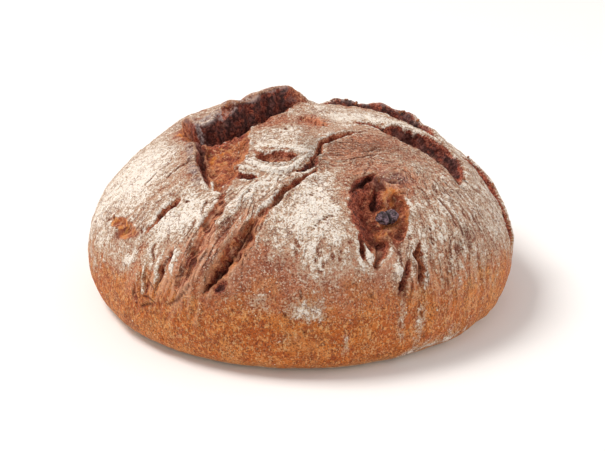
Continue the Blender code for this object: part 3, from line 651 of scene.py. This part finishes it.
def put(mesh, points):
    """Moves the mesh's points to these, in millimetres."""
    mesh.vertices.foreach_set("co", (points * MM).astype(np.float32).ravel())
    mesh.update()


def neighbours(values, ends):
    """The mean of the values at the ends of the edges from each point."""
    first, second = ends.T
    count = np.bincount(ends.ravel(), minlength=len(values))
    total = np.empty_like(values)
    for column, of in enumerate(values.T):
        total[:, column] = np.bincount(first, of[second], len(of)) + np.bincount(second, of[first], len(of))
    return total / count[:, None]


def cube_ball(divisions):
    """A cube divided evenly but for its bottom, one face: (mesh, directions from the middle, edges)."""
    shape = bmesh.new()
    bmesh.ops.create_cube(shape, size=2.0)
    bmesh.ops.subdivide_edges(shape, edges=shape.edges[:], cuts=divisions - 1, use_grid_fill=True)
    under = [face for face in shape.faces if face.calc_center_median().z < -0.9999]
    bmesh.ops.delete(shape, geom=under, context="FACES")
    rim = [edge for edge in shape.edges if edge.is_boundary]
    bmesh.ops.contextual_create(shape, geom=rim)
    bmesh.ops.recalc_face_normals(shape, faces=shape.faces[:])
    mesh = bpy.data.meshes.new("loaf_crust")
    shape.to_mesh(mesh)
    shape.free()
    even = np.tan(read(mesh.vertices, "co").astype(float) * math.pi / 4)
    directions = even / np.linalg.norm(even, axis=1, keepdims=True)
    return mesh, directions, read(mesh.edges, "vertices", np.int32)


def map_places(directions):
    """Where on the crust map each direction from the ball's middle lands. The cube's bottom edge is the
    base's rim."""
    across_x, along_y, up = directions.T
    compass = np.arctan2(along_y, across_x)
    polar = np.arccos(np.clip(up, -1.0, 1.0))
    edge = math.pi - np.arctan(1.0 / np.maximum(np.abs(np.cos(compass)), np.abs(np.sin(compass))))
    length = RIM * np.minimum(polar / edge, 1.0)
    return length * np.cos(compass), length * np.sin(compass)


def evened(u, v, level, surface, ends):
    """(u, v) moved so that the points lie evenly on the surface, down its walls too, and the level there.
    Those at the rim stay."""
    free = smooth((RIM - 3.0 - np.hypot(u, v)) / 6.0)[:, None] * 0.6
    carried = np.column_stack([surface, u, v, level])
    for _ in range(EVEN_ROUNDS):
        carried += free * (neighbours(carried, ends) - carried)
    return carried[:, 3:].T


def relaxed(points, ends):
    """The points drawn a little towards their neighbours: what is finer than the mesh can hold goes."""
    share = RELAXING * smooth((points[:, 2] - 1.0) / 6.0)[:, None]
    return points + share * (neighbours(points, ends) - points)


def hollows(mesh, ends, rounds, deepest):
    """How far each point of the mesh lies below the smoothed surface round it: 0.5 is level with it, and 1 is
    half of the deepest, in millimetres, under it."""
    points = read(mesh.vertices, "co").astype(float) / MM
    smoothed = points.copy()
    for _ in range(rounds):
        smoothed = 0.3 * smoothed + 0.7 * neighbours(smoothed, ends)
    depth = ((smoothed - points) * read(mesh.vertex_normals, "vector")).sum(1)
    return np.clip(0.5 + depth * smooth((points[:, 2] - 1.5) / 3.0) / deepest, 0.0, 1.0)


def detailed(mesh, points, fields):
    """The points moved along the mesh's normals by the finer relief of crust, folds and crumb."""
    put(mesh, points)
    out = read(mesh.vertex_normals, "vector").astype(float)
    opened = fields["torn"] * (1.0 - fields["calm"])
    height = np.zeros(len(points))
    for index, (size, tall) in enumerate(PEEL):
        height += tall * sampled(points, size, 31.0 + index) * (1.0 - 0.5 * opened)
    for index, (size, tall) in enumerate(CRUMB):
        lump = sampled(points, size, 51.0 + index)
        height += tall * (lump - 0.6 * np.abs(lump)) * opened
    height += CHAR_RELIEF * sampled(points, 5.0, 91.0) * fields["char"]
    strength = 0.20 + 0.80 * fields["drawn"]
    height += BAND_RELIEF * fields["band"] * strength * (1.0 - 0.4 * opened)
    height -= CRACK_RELIEF * fields["crack"]
    height += FLOUR_RELIEF * fields["flour"] * (0.5 + 0.5 * sampled(points, 3.0, 71.0))
    flank = smooth((points[:, 2] - 1.0) / 6.0)
    moved = points + out * (height * flank)[:, None]
    moved[:, 2] = np.maximum(moved[:, 2], 0.0)
    return moved


def banded(grain, fibre, places):
    """The bands between the creases that the stretching leaves: 0 in a crease and 1 on a band. The creases
    come and go along the crust."""
    broad = smooth(3.2 * np.abs(sampled(grain, 3.4, 5.0)))
    narrow = smooth(2.6 * np.abs(sampled(fibre, 2.2, 11.0)))
    here = smooth(0.55 + 1.3 * sampled(places, 13.0, 77.0))
    also = smooth(0.50 + 1.5 * sampled(places, 8.0, 37.0))
    return (1.0 - 0.85 * here * (1.0 - broad)) * (1.0 - 0.45 * also * (1.0 - narrow))


def fields_of(u, v, tears):
    """The masks that the crust's material and relief read, one number or vector for each point."""
    grain = stretch(u, v, *BANDS_RUN)
    fibre = stretch(u, v, *FIBRES_RUN)
    fields = {
        "torn": tears["open"],
        "char": tears["char"],
        "flour": flour_on(u, v, tears),
        "crack": cracked(u, v),
        "band": banded(grain, fibre, on_dome(u, v)),
        "grain": grain,
        "fibre": fibre,
    }
    masks = {
        "bake": (tears["bake"], DARK),
        "glow": (tears["glow"], GLOW),
        "drawn": (0.5 * tears["margin"], DRAWN),
        "calm": (0.0, CALM),
        "silver": (0.0, SILVER),
        "mauve": (0.0, MAUVE),
    }
    for name, (start, wanted) in masks.items():
        fields[name] = np.clip(start + patches(wanted, u, v), 0.0, 1.0)
    return fields


def keep_fields(mesh, fields):
    for name, values in fields.items():
        vector = values.ndim == 2
        attribute = mesh.attributes.new(name, "FLOAT_VECTOR" if vector else "FLOAT", "POINT")
        attribute.data.foreach_set("vector" if vector else "value", values.astype(np.float32).ravel())


def linear(red, green, blue):
    """A colour given as 0 to 255 screen values, as the shader wants it."""
    channels = [c / 255 for c in (red, green, blue)]
    return (*[c / 12.92 if c <= 0.04045 else ((c + 0.055) / 1.055) ** 2.4 for c in channels], 1.0)


class Look:
    """A material's node tree, whose methods add nodes and return their result. Its place is in millimetres."""

    def __init__(self, name):
        self.material = bpy.data.materials.new(name)
        self.material.use_nodes = True
        self.tree = self.material.node_tree
        self.shader = self.tree.nodes["Principled BSDF"]
        coordinates = self.add("ShaderNodeTexCoord", {}).outputs["Object"]
        self.place = self.vector("SCALE", {0: coordinates, "Scale": 1 / MM})

    def add(self, kind, sockets, **settings):
        node = self.tree.nodes.new(kind)
        for key, value in settings.items():
            setattr(node, key, value)
        for key, value in sockets.items():
            if isinstance(value, bpy.types.NodeSocket):
                self.tree.links.new(value, node.inputs[key])
            else:
                node.inputs[key].default_value = value
        return node

    def vector(self, operation, sockets):
        return self.add("ShaderNodeVectorMath", sockets, operation=operation).outputs[0]

    def split(self, place):
        """The point's X, Y and Z."""
        return self.add("ShaderNodeSeparateXYZ", {0: place}).outputs

    def field(self, name, output="Fac"):
        return self.add("ShaderNodeAttribute", {}, attribute_name=name).outputs[output]

    def noise(self, size, detail=2.0, roughness=0.5, place=None):
        """Noise from 0 to 1 whose lumps are this size, in millimetres."""
        sockets = {"Vector": place or self.place, "Scale": 1 / size, "Detail": detail, "Roughness": roughness}
        return self.add("ShaderNodeTexNoise", sockets).outputs["Fac"]

    def edges(self, size, bend, reach):
        """1 on the lines between cells of a size, falling to 0 beside them. Noise whose lumps are as large as
        the bend moves them by up to the reach. All three are in millimetres."""
        lumps = self.add("ShaderNodeTexNoise", {"Vector": self.place, "Scale": 1 / bend, "Detail": 2.0})
        centred = self.vector("SUBTRACT", {0: lumps.outputs["Color"], 1: (0.5, 0.5, 0.5)})
        shift = self.vector("SCALE", {0: centred, "Scale": 2 * reach})
        moved = self.vector("ADD", {0: self.place, 1: shift})
        sockets = {"Vector": moved, "Scale": 1 / size, "Randomness": 1.0}
        cells = self.add("ShaderNodeTexVoronoi", sockets, feature="DISTANCE_TO_EDGE")
        return self.ramp(cells.outputs["Distance"], 0.075, 0.015)

    def ramp(self, value, low, high, start=0.0, end=1.0):
        sockets = {"Value": value, "From Min": low, "From Max": high, "To Min": start, "To Max": end}
        return self.add("ShaderNodeMapRange", sockets, interpolation_type="SMOOTHSTEP").outputs["Result"]

    def maths(self, operation, first, second, clamp=False):
        node = self.add("ShaderNodeMath", {0: first, 1: second}, operation=operation, use_clamp=clamp)
        return node.outputs[0]

    def times(self, first, second, clamp=False):
        return self.maths("MULTIPLY", first, second, clamp)

    def plus(self, first, second, clamp=False):
        return self.maths("ADD", first, second, clamp)

    def minus(self, first, second, clamp=False):
        return self.maths("SUBTRACT", first, second, clamp)

    def swing(self, texture, weight):
        """The texture as a swing about 0."""
        return self.times(self.minus(texture, 0.5), weight)

    def mix(self, share, first, second):
        """From the first colour to the second. Each is a socket or 0 to 255 screen values."""
        sockets = {0: share}
        for key, colour in ((6, first), (7, second)):
            sockets[key] = linear(*colour) if isinstance(colour, tuple) else colour
        return self.add("ShaderNodeMix", sockets, data_type="RGBA").outputs[2]

    def tones(self, texture, low, high, first, second):
        """The second colour where the texture is high and the first where it is low."""
        return self.mix(self.ramp(texture, low, high), first, second)

    def layered(self, colour, *layers):
        """The colour under layers: (texture, where none shows, where all shows, how much, its colour)."""
        for texture, low, high, most, over in layers:
            colour = self.mix(self.ramp(texture, low, high, 0.0, most), colour, over)
        return colour

    def finish(self, colour, roughness, height, depth_mm):
        """The shader's own inputs. The height, from 0 to 1, stands for depth_mm of relief."""
        bump = self.add("ShaderNodeBump", {"Height": height, "Strength": 1.0, "Distance": depth_mm * MM})
        self.tree.links.new(colour, self.shader.inputs["Base Color"])
        self.tree.links.new(roughness, self.shader.inputs["Roughness"])
        self.tree.links.new(bump.outputs["Normal"], self.shader.inputs["Normal"])
        self.shader.inputs["Specular IOR Level"].default_value = SPECULAR
        return self.material


class CrustLook(Look):
    """The loaf's look, with the textures and masks that its layers share."""

    def __init__(self):
        super().__init__("baked_crust")
        self.coarse = self.noise(14.0, 3.0)
        self.blotch = self.noise(5.0, 3.0, 0.6)
        self.fine = self.noise(1.9, 3.0, 0.6)
        self.salt = self.noise(0.9, 2.0, 0.6)
        self.streak = self.noise(2.6, 4.0, 0.62, self.field("grain", "Vector"))
        self.strand = self.noise(1.3, 2.0, 0.55, self.field("fibre", "Vector"))
        names = "torn bake glow char flour crack drawn band silver mauve hollow sunken"
        self.mask = {name: self.field(name) for name in names.split()}
        creased = self.minus(1.0, self.mask["band"])
        self.crease = self.times(creased, self.plus(0.35, self.mask["drawn"]), True)
        self.height = self.split(self.place)["Z"]
        self.level = self.plus(self.height, self.times(self.coarse, 30.0))
        self.patchy = self.swing(self.blotch, 1.1)


def bare_crust(look):
    """Orange-brown round the flank, redder and darker towards the top, and paler at the base."""
    upright = look.add("ShaderNodeMapping", {"Vector": look.place, "Scale": (1.0, 1.0, 0.4)})
    wisp = look.noise(1.2, 2.0, 0.6, upright.outputs["Vector"])
    flank = look.layered(
        look.tones(look.blotch, 0.34, 0.66, (210, 116, 40), (162, 76, 27)),
        (look.coarse, 0.46, 0.60, 0.7, (188, 88, 24)),
        (look.coarse, 0.46, 0.34, 0.6, (218, 140, 76)),
        (look.fine, 0.50, 0.66, 0.9, (234, 156, 86)),
        (look.salt, 0.50, 0.36, 0.8, (100, 42, 16)),
        (wisp, 0.56, 0.68, 0.6, (240, 188, 128)),
    )
    top = look.layered(
        look.tones(look.streak, 0.36, 0.64, (146, 74, 46), (192, 120, 84)),
        (look.fine, 0.50, 0.75, 1.0, (208, 152, 122)),
        (look.salt, 0.49, 0.37, 0.7, (104, 50, 34)),
        # Creases painted darker: partly their browned crust, partly painted shade.
        (look.crease, 0.35, 0.95, 0.7, (104, 48, 31)),
    )
    rim = look.plus(look.height, look.times(look.blotch, -9.0))
    return look.layered(
        look.tones(look.level, 42.0, 70.0, flank, top),
        (look.height, 9.0, 0.5, 0.35, (200, 150, 104)),
        (rim, -1.2, -3.4, 0.8, (232, 206, 172)),
    )


def torn_crumb(look, bare):
    """Orange where it is fresh, dark red-brown where it is deep and greyed where its lips are charred. The
    dark red-brown and black are also painted shade in deep slots and shadow lines, the grey also painted shade
    on the left lobe's rounded edge and the pit's upper-left rim, and the mauve partly painted shade.
    """
    fine, salt, mask, patchy = look.fine, look.salt, look.mask, look.patchy
    crumb = look.layered(
        look.tones(look.blotch, 0.38, 0.60, (154, 66, 40), (214, 128, 88)),
        (fine, 0.50, 0.66, 0.9, (244, 180, 138)),
        (salt, 0.48, 0.38, 0.85, (92, 28, 14)),
    )
    glowing = look.tones(fine, 0.35, 0.70, (206, 106, 34), (236, 162, 78))
    glow = look.times(mask["glow"], look.ramp(look.blotch, 0.38, 0.62), True)
    crumb = look.mix(look.times(glow, 0.8), crumb, glowing)
    inside = look.ramp(look.plus(mask["torn"], look.swing(fine, 0.8)), 0.30, 0.60)
    colour = look.mix(inside, bare, crumb)
    colour = look.mix(look.times(look.ramp(glow, 0.45, 0.95), 0.8), colour, glowing)
    # Dark red-brown and black for crust baked dark; in deep slots and shadow lines they are painted shade.
    baked_and_shade = look.layered(
        look.tones(fine, 0.40, 0.60, (108, 26, 14), (186, 78, 50)),
        (salt, 0.50, 0.60, 0.7, (204, 126, 98)),
        (salt, 0.45, 0.36, 0.8, (60, 16, 10)),
    )
    black = look.tones(fine, 0.44, 0.66, (44, 16, 15), (120, 78, 74))
    darkness = look.plus(mask["bake"], patchy)
    colour = look.layered(colour, (darkness, 0.20, 0.80, 0.9, baked_and_shade), (darkness, 0.80, 1.10, 0.9, black))
    # Grey ash on charred lips; on the left lobe's rounded edge and the pit's upper-left rim the same grey is
    # painted shade.
    ash_and_shade = look.tones(look.blotch, 0.45, 0.56, (62, 30, 28), (168, 148, 144))
    ash_and_shade = look.layered(ash_and_shade, (fine, 0.50, 0.38, 0.7, (70, 36, 32)))
    burnt_and_shaded = look.ramp(look.plus(mask["char"], look.times(patchy, 0.9)), 0.40, 0.95, 0.0, 0.85)
    colour = look.mix(look.times(burnt_and_shaded, look.ramp(mask["torn"], 1.0, 0.5)), colour, ash_and_shade)
    # Mauve for thin crust, and as painted shade under the lower arm of the fold and along the left lobe's
    # rounded edge.
    thin_crust_and_shade = look.tones(fine, 0.38, 0.64, (112, 60, 52), (172, 118, 106))
    grey = look.tones(fine, 0.40, 0.62, (112, 92, 92), (190, 172, 168))
    return look.layered(
        colour,
        (look.plus(mask["mauve"], patchy), 0.25, 0.75, 0.85, thin_crust_and_shade),
        (look.plus(mask["silver"], look.swing(fine, 1.6)), 0.40, 0.85, 0.9, grey),
    )


def shaded(look, colour):
    """Painted shade and painted highlight: a hollow is painted darker and redder, and what stands out paler.
    """
    hollow, sunken = look.mask["hollow"], look.mask["sunken"]
    deep = look.maths("MAXIMUM", look.ramp(hollow, 0.56, 0.95), look.ramp(sunken, 0.56, 0.90))
    # Painted shade: darker and redder in the hollows, darkest in the broad sunken ones.
    colour = look.mix(look.times(deep, 0.28), colour, (104, 34, 20))
    colour = look.layered(colour, (sunken, 0.88, 1.0, 0.35, (40, 16, 12)))
    # Painted highlight: paler where the crust stands out, less so where it is dark.
    proud = look.times(look.ramp(hollow, 0.42, 0.08, 0.0, 0.4), look.ramp(look.mask["bake"], 0.8, 0.2))
    return look.mix(proud, colour, (206, 150, 110))


def fibrous(look, colour):
    """Fibres along the stretch marks with fine creases between them, and the cracks where the crust has split,
    the creases and cracks painted darker, partly browned crust and partly painted shade: the colour, and how
    deep the creases and cracks are."""
    drawn = look.mask["drawn"]
    pale = look.times(look.ramp(look.strand, 0.48, 0.64, 0.0, 0.8), drawn)
    colour = look.mix(pale, colour, (230, 170, 136))
    lines = look.times(look.ramp(look.strand, 0.47, 0.36), look.ramp(look.noise(9.0), 0.38, 0.58))
    lines = look.times(lines, look.plus(0.12, drawn), True)
    split = look.maths("MAXIMUM", look.times(lines, 0.75), look.mask["crack"])
    # Creases and cracks painted dark brown: browned crust and painted shade.
    return look.mix(split, colour, (88, 38, 24)), split


def floured(look, colour, split):
    """Flour, which lies thick on what stands out, thins to specks, and is missing from the creases: the
    colour, and how much flour covers it."""
    flour = look.mask["flour"]
    wanted = flour
    for texture, weight in ((look.fine, 1.5), (look.salt, 2.4), (look.blotch, 0.9), (look.streak, 1.2)):
        wanted = look.plus(wanted, look.swing(texture, weight))
    wanted = look.minus(wanted, look.times(look.crease, 0.30))
    wanted = look.minus(wanted, look.swing(look.mask["hollow"], 1.3))
    wanted = look.minus(wanted, look.times(split, 0.9))
    wanted = look.minus(wanted, look.times(look.mask["mauve"], 0.8))
    haze = look.times(look.ramp(flour, 0.05, 0.5), look.ramp(wanted, -0.1, 0.5))
    colour = look.mix(look.times(haze, 0.55), colour, (212, 176, 146))
    cover = look.times(look.ramp(wanted, 0.28, 0.92), look.ramp(flour, 0.0, 0.16))
    white = look.tones(wanted, 0.5, 1.2, (214, 184, 158), (250, 240, 228))
    white = look.layered(white, (look.salt, 0.46, 0.32, 0.7, (168, 116, 86)))
    colour = look.mix(look.times(cover, 0.95), colour, white)
    crackle = look.times(look.edges(4.5, 2.5, 1.6), look.ramp(look.noise(12.0), 0.48, 0.60))
    crackle = look.times(crackle, look.ramp(flour, 0.35, 0.75, 0.0, 0.8))
    return look.mix(crackle, colour, (128, 74, 52)), cover


def specked(look, colour):
    """Pale specks of bran and flour all over the bare crust."""
    chance = look.ramp(look.noise(9.0, 4.0, 0.68), 0.38, 0.60)
    chance = look.plus(chance, look.ramp(look.level, 40.0, 70.0, 0.0, 0.5), True)
    dusted = look.times(look.ramp(look.noise(1.0, 2.0, 0.6), 0.54, 0.66), chance)
    dusted = look.times(dusted, look.minus(0.75, look.mask["torn"], True))
    return look.mix(dusted, colour, look.tones(look.level, 40.0, 70.0, (224, 180, 128), (238, 212, 188)))


def crust_look():
    look = CrustLook()
    colour = shaded(look, torn_crumb(look, bare_crust(look)))
    colour, split = fibrous(look, colour)
    colour, cover = floured(look, colour, split)
    rough = look.plus(look.times(cover, 0.25), look.times(look.fine, 0.25))
    crumb_height = look.times(look.noise(1.3, 3.0, 0.7), look.mask["torn"])
    fibres = look.times(look.strand, look.mask["drawn"])
    relief = look.times(look.fine, 0.55)
    heights = {cover: 0.12, look.salt: 0.45, crumb_height: 0.8, look.streak: 0.4, fibres: 0.6, split: -0.7}
    for texture, weight in heights.items():
        relief = look.plus(relief, look.times(texture, weight))
    return look.finish(specked(look, colour), look.plus(rough, 0.52, True), relief, 1.9)


def walnut_look():
    look = Look("roasted_walnut")
    vein = look.noise(2.4, 4.0, 0.6)
    fine = look.noise(0.6, 2.0, 0.6)
    # The skin is painted lighter towards +X, a painted highlight on the right lobe, and darker towards -X.
    skin_with_painted_light = look.tones(look.split(look.place)["X"], -4.0, 4.5, (58, 34, 38), (126, 102, 114))
    colour = look.layered(
        look.tones(vein, 0.42, 0.62, (34, 16, 20), skin_with_painted_light),
        (fine, 0.54, 0.70, 0.7, (184, 150, 150)),
        # The furrow between the lobes is painted near-black: painted shade.
        (look.field("groove"), 0.30, 0.90, 0.95, (24, 10, 10)),
    )
    return look.finish(colour, look.ramp(vein, 0.3, 0.7, 0.32, 0.55), fine, 0.25)


def flour_look():
    look = Look("flour_grains")
    shade = look.noise(1.2)
    colour = look.tones(shade, 0.35, 0.65, (214, 186, 152), (243, 234, 218))
    colour = look.layered(colour, (look.noise(9.0), 0.55, 0.72, 0.5, (196, 150, 108)))
    return look.finish(colour, look.ramp(shade, 0.3, 0.7, 0.75, 0.95), shade, 0.15)


def flake_look():
    look = Look("crust_flakes")
    blotch = look.noise(2.6, 3.0, 0.6)
    fine = look.noise(0.7, 2.0, 0.6)
    colour = look.tones(blotch, 0.35, 0.65, (96, 44, 26), (172, 104, 66))
    colour = look.layered(colour, (fine, 0.52, 0.68, 1.0, (198, 148, 114)))
    return look.finish(colour, look.ramp(blotch, 0.3, 0.7, 0.6, 0.85), fine, 0.3)


def floor_look():
    look = Look("pale_floor")
    shade = look.noise(700.0, 1.0)
    look.shader.inputs["Emission Color"].default_value = WHITE
    look.shader.inputs["Emission Strength"].default_value = FLOOR_GLOW
    colour = look.mix(shade, (246, 242, 239), (249, 245, 242))
    return look.finish(colour, look.ramp(shade, 0.0, 1.0, 0.85, 0.95), shade, 0.01)


def show(name, mesh, look):
    piece = bpy.data.objects.new(name, mesh)
    bpy.context.scene.collection.objects.link(piece)
    mesh.materials.append(look)
    mesh.polygons.foreach_set("use_smooth", [True] * len(mesh.polygons))
    return piece


def make_loaf():
    mesh, directions, ends = cube_ball(CUBE_DIVISIONS)
    u, v = map_places(directions)
    surface, tears = crust(u, v, np.zeros(u.shape))
    u, v, level = evened(u, v, tears["rise"], surface, ends)
    surface, tears = crust(u, v, level)
    fields = fields_of(u, v, tears)
    put(mesh, relaxed(detailed(mesh, surface, fields), ends))
    for name, (rounds, deepest) in HOLLOWS.items():
        fields[name] = hollows(mesh, ends, rounds, deepest)
    steep = 1.0 - (read(mesh.vertex_normals, "vector") * normals(u, v)).sum(1)
    fields["drawn"] = fields["drawn"] * (1.0 - smooth((steep - STEEP_FROM) / STEEP_FADE))
    keep_fields(mesh, fields)
    loaf = show("loaf_crust", mesh, crust_look())
    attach(loaf, "root")
    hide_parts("loaf")
    return loaf, fields


def make_walnut():
    """The kernel: a lobed half with a furrow and brain-like wrinkles."""
    shape = bmesh.new()
    bmesh.ops.create_icosphere(shape, subdivisions=6, radius=1.0)
    grooved = []
    for vertex in shape.verts:
        way = vertex.co.normalized()
        groove = math.exp(-((way.x / 0.26) ** 2))
        grooved.append(groove)
        furrow = 0.42 * groove * max(way.z + 0.5, 0.0)
        lump = 0.10 * noise.noise(way * 2.6) + 0.05 * noise.noise(way * 6.0)
        bent = way * 3.4 + noise.noise_vector(way * 2.0) * 0.9
        wrinkle = 0.07 * (1.0 - 2.6 * abs(noise.noise(bent)))
        size = 0.97 - furrow + lump + wrinkle
        vertex.co = [way[axis] * size * WALNUT_SIZE[axis] / 2 * MM for axis in range(3)]
    low, high = (Vector(corner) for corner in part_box("walnut_piece"))
    out = Vector(normals(*(np.array([value]) for value in WALNUT_PLACE))[0])
    spin = Matrix.Rotation(math.atan2(out.y, out.x) + math.pi / 2, 4, "Z")
    tilt = Matrix.Rotation(math.acos(out.z), 4, "X")
    shape.transform(Matrix.Translation((low + high) / 2) @ (spin @ tilt))
    mesh = bpy.data.meshes.new("walnut_kernel")
    shape.to_mesh(mesh)
    shape.free()
    keep_fields(mesh, {"groove": np.array(grooved)})
    walnut = show("walnut_kernel", mesh, walnut_look())
    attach(walnut, "root")
    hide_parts("walnut_piece")


def scattered(loaf, weight, count, draw):
    """Points on the loaf with their normals, chosen by the seeded draw where the weight is high."""
    mesh = loaf.data
    chosen = draw.choice(len(mesh.vertices), count, p=weight / weight.sum())
    points = read(mesh.vertices, "co")[chosen].astype(float)
    return points, read(mesh.vertex_normals, "vector")[chosen].astype(float)


def turned(out, draw):
    """A random frame for each normal: two directions along the surface."""
    spun = np.cross(out, draw.normal(size=out.shape))
    first = spun / np.linalg.norm(spun, axis=1, keepdims=True)
    return first, np.cross(out, first)


def joined(name, corners, faces, look):
    """One piece that rides on the loaf: a copy of the faces for each row of the corners."""
    starts = len(corners) * np.arange(len(corners[0]))
    every = (np.array(faces)[None] + starts[:, None, None]).reshape(-1, len(faces[0]))
    mesh = bpy.data.meshes.new(name)
    mesh.from_pydata(np.stack(corners, 1).reshape(-1, 3).tolist(), [], every.tolist())
    mesh.update()
    piece = show(name, mesh, look)
    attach(piece, "root")


def make_grains(loaf, fields):
    """Coarse grains of flour and bran: squashed eight-sided crystals lying on the crust."""
    draw = np.random.default_rng(GRAINS_SEED)
    weight = 0.03 + fields["flour"] ** 1.5
    weight *= 1.0 - np.clip(1.2 * fields["torn"], 0.0, 1.0)
    points, out = scattered(loaf, weight, GRAINS, draw)
    above = points[:, 2] > GRAINS_ABOVE * MM
    points, out = points[above], out[above]
    first, second = turned(out, draw)
    size = draw.gamma(4.0, 0.075, len(points))[:, None] * MM
    corners = [points + first * size * draw.uniform(0.8, 1.5, size.shape), points - first * size]
    corners += [points + second * size, points - second * size * draw.uniform(0.6, 1.2, size.shape)]
    corners += [points + out * size * 0.7, points - out * size * 0.4]
    faces = []
    for a, b in ((0, 2), (2, 1), (1, 3), (3, 0)):
        faces += [(a, b, 4), (b, a, 5)]
    joined("flour_grains", corners, faces, flour_look())


def make_flakes(loaf, fields):
    """Thin flakes of crust that curl up beside the tears."""
    draw = np.random.default_rng(FLAKES_SEED)
    beside = np.clip(1.0 - np.abs(fields["torn"] - 0.45) / 0.3, 0.0, 1.0) * (fields["bake"] + 0.1)
    points, out = scattered(loaf, beside + 1e-9, FLAKES, draw)
    first, second = turned(out, draw)
    size = draw.uniform(0.5, 1.2, len(points))[:, None] * MM
    corners = []
    for step in range(3):
        along = (step - 1.0) * size * 1.2
        lift = (0.05 + 0.18 * step * draw.uniform(0.2, 1.0, size.shape)) * size
        wide = size * (0.7 - 0.2 * abs(step - 0.7))
        for side in (-1.0, 1.0):
            for thick in (0.0, FLAKE_THICKNESS * MM):
                corners.append(points + first * along + second * side * wide + out * (lift + thick))
    rings = [(0, 1, 3, 2), (4, 5, 7, 6), (8, 9, 11, 10)]
    faces = [rings[0][::-1], rings[2]]
    for ring, following in zip(rings, rings[1:]):
        for k in range(4):
            after = (k + 1) % 4
            faces.append((ring[k], ring[after], following[after], following[k]))
    joined("crust_flakes", corners, faces, flake_look())


def make_floor():
    shape = bmesh.new()
    bmesh.ops.create_grid(shape, x_segments=1, y_segments=1, size=FLOOR_HALF)
    bmesh.ops.translate(shape, verts=shape.verts, vec=(0.0, 0.0, -FLOOR_GAP))
    mesh = bpy.data.meshes.new("floor")
    shape.to_mesh(mesh)
    shape.free()
    floor = bpy.data.objects.new("floor", mesh)
    bpy.context.scene.collection.objects.link(floor)
    mesh.materials.append(floor_look())


def add_area(name, place, size, power, colour):
    light = bpy.data.lights.new(name, "AREA")
    light.size = size
    light.energy = power
    light.color = colour
    lamp = bpy.data.objects.new(name, light)
    lamp.location = place
    lamp.rotation_euler = (LIGHTS_TARGET - Vector(place)).to_track_quat("-Z", "Y").to_euler()
    bpy.context.scene.collection.objects.link(lamp)


def make_studio():
    """Soft daylight from all round, a large key light high on the left and a weak one on the right."""
    world = bpy.data.worlds.new("studio")
    world.use_nodes = True
    background = world.node_tree.nodes["Background"]
    background.inputs["Color"].default_value = WHITE
    background.inputs["Strength"].default_value = DAYLIGHT
    bpy.context.scene.world = world
    for light in LIGHTS:
        add_area(*light)
    bpy.context.scene.view_settings.view_transform = "Standard"


def make_camera():
    camera = bpy.data.cameras.new("photo")
    camera.lens = CAMERA_LENS_MM
    camera.sensor_width = CAMERA_SENSOR_MM
    holder = bpy.data.objects.new("photo", camera)
    tilt = math.radians(CAMERA_HEIGHT_DEG)
    holder.location = CAMERA_TARGET + CAMERA_DISTANCE * Vector((0.0, -math.cos(tilt), math.sin(tilt)))
    holder.rotation_euler = (math.pi / 2 - tilt, 0.0, 0.0)
    bpy.context.scene.collection.objects.link(holder)
    bpy.context.scene.camera = holder


def main():
    noise.seed_set(NOISE_SEED)
    loaf, fields = make_loaf()
    make_walnut()
    make_grains(loaf, fields)
    make_flakes(loaf, fields)
    make_floor()
    make_studio()
    make_camera()


main()
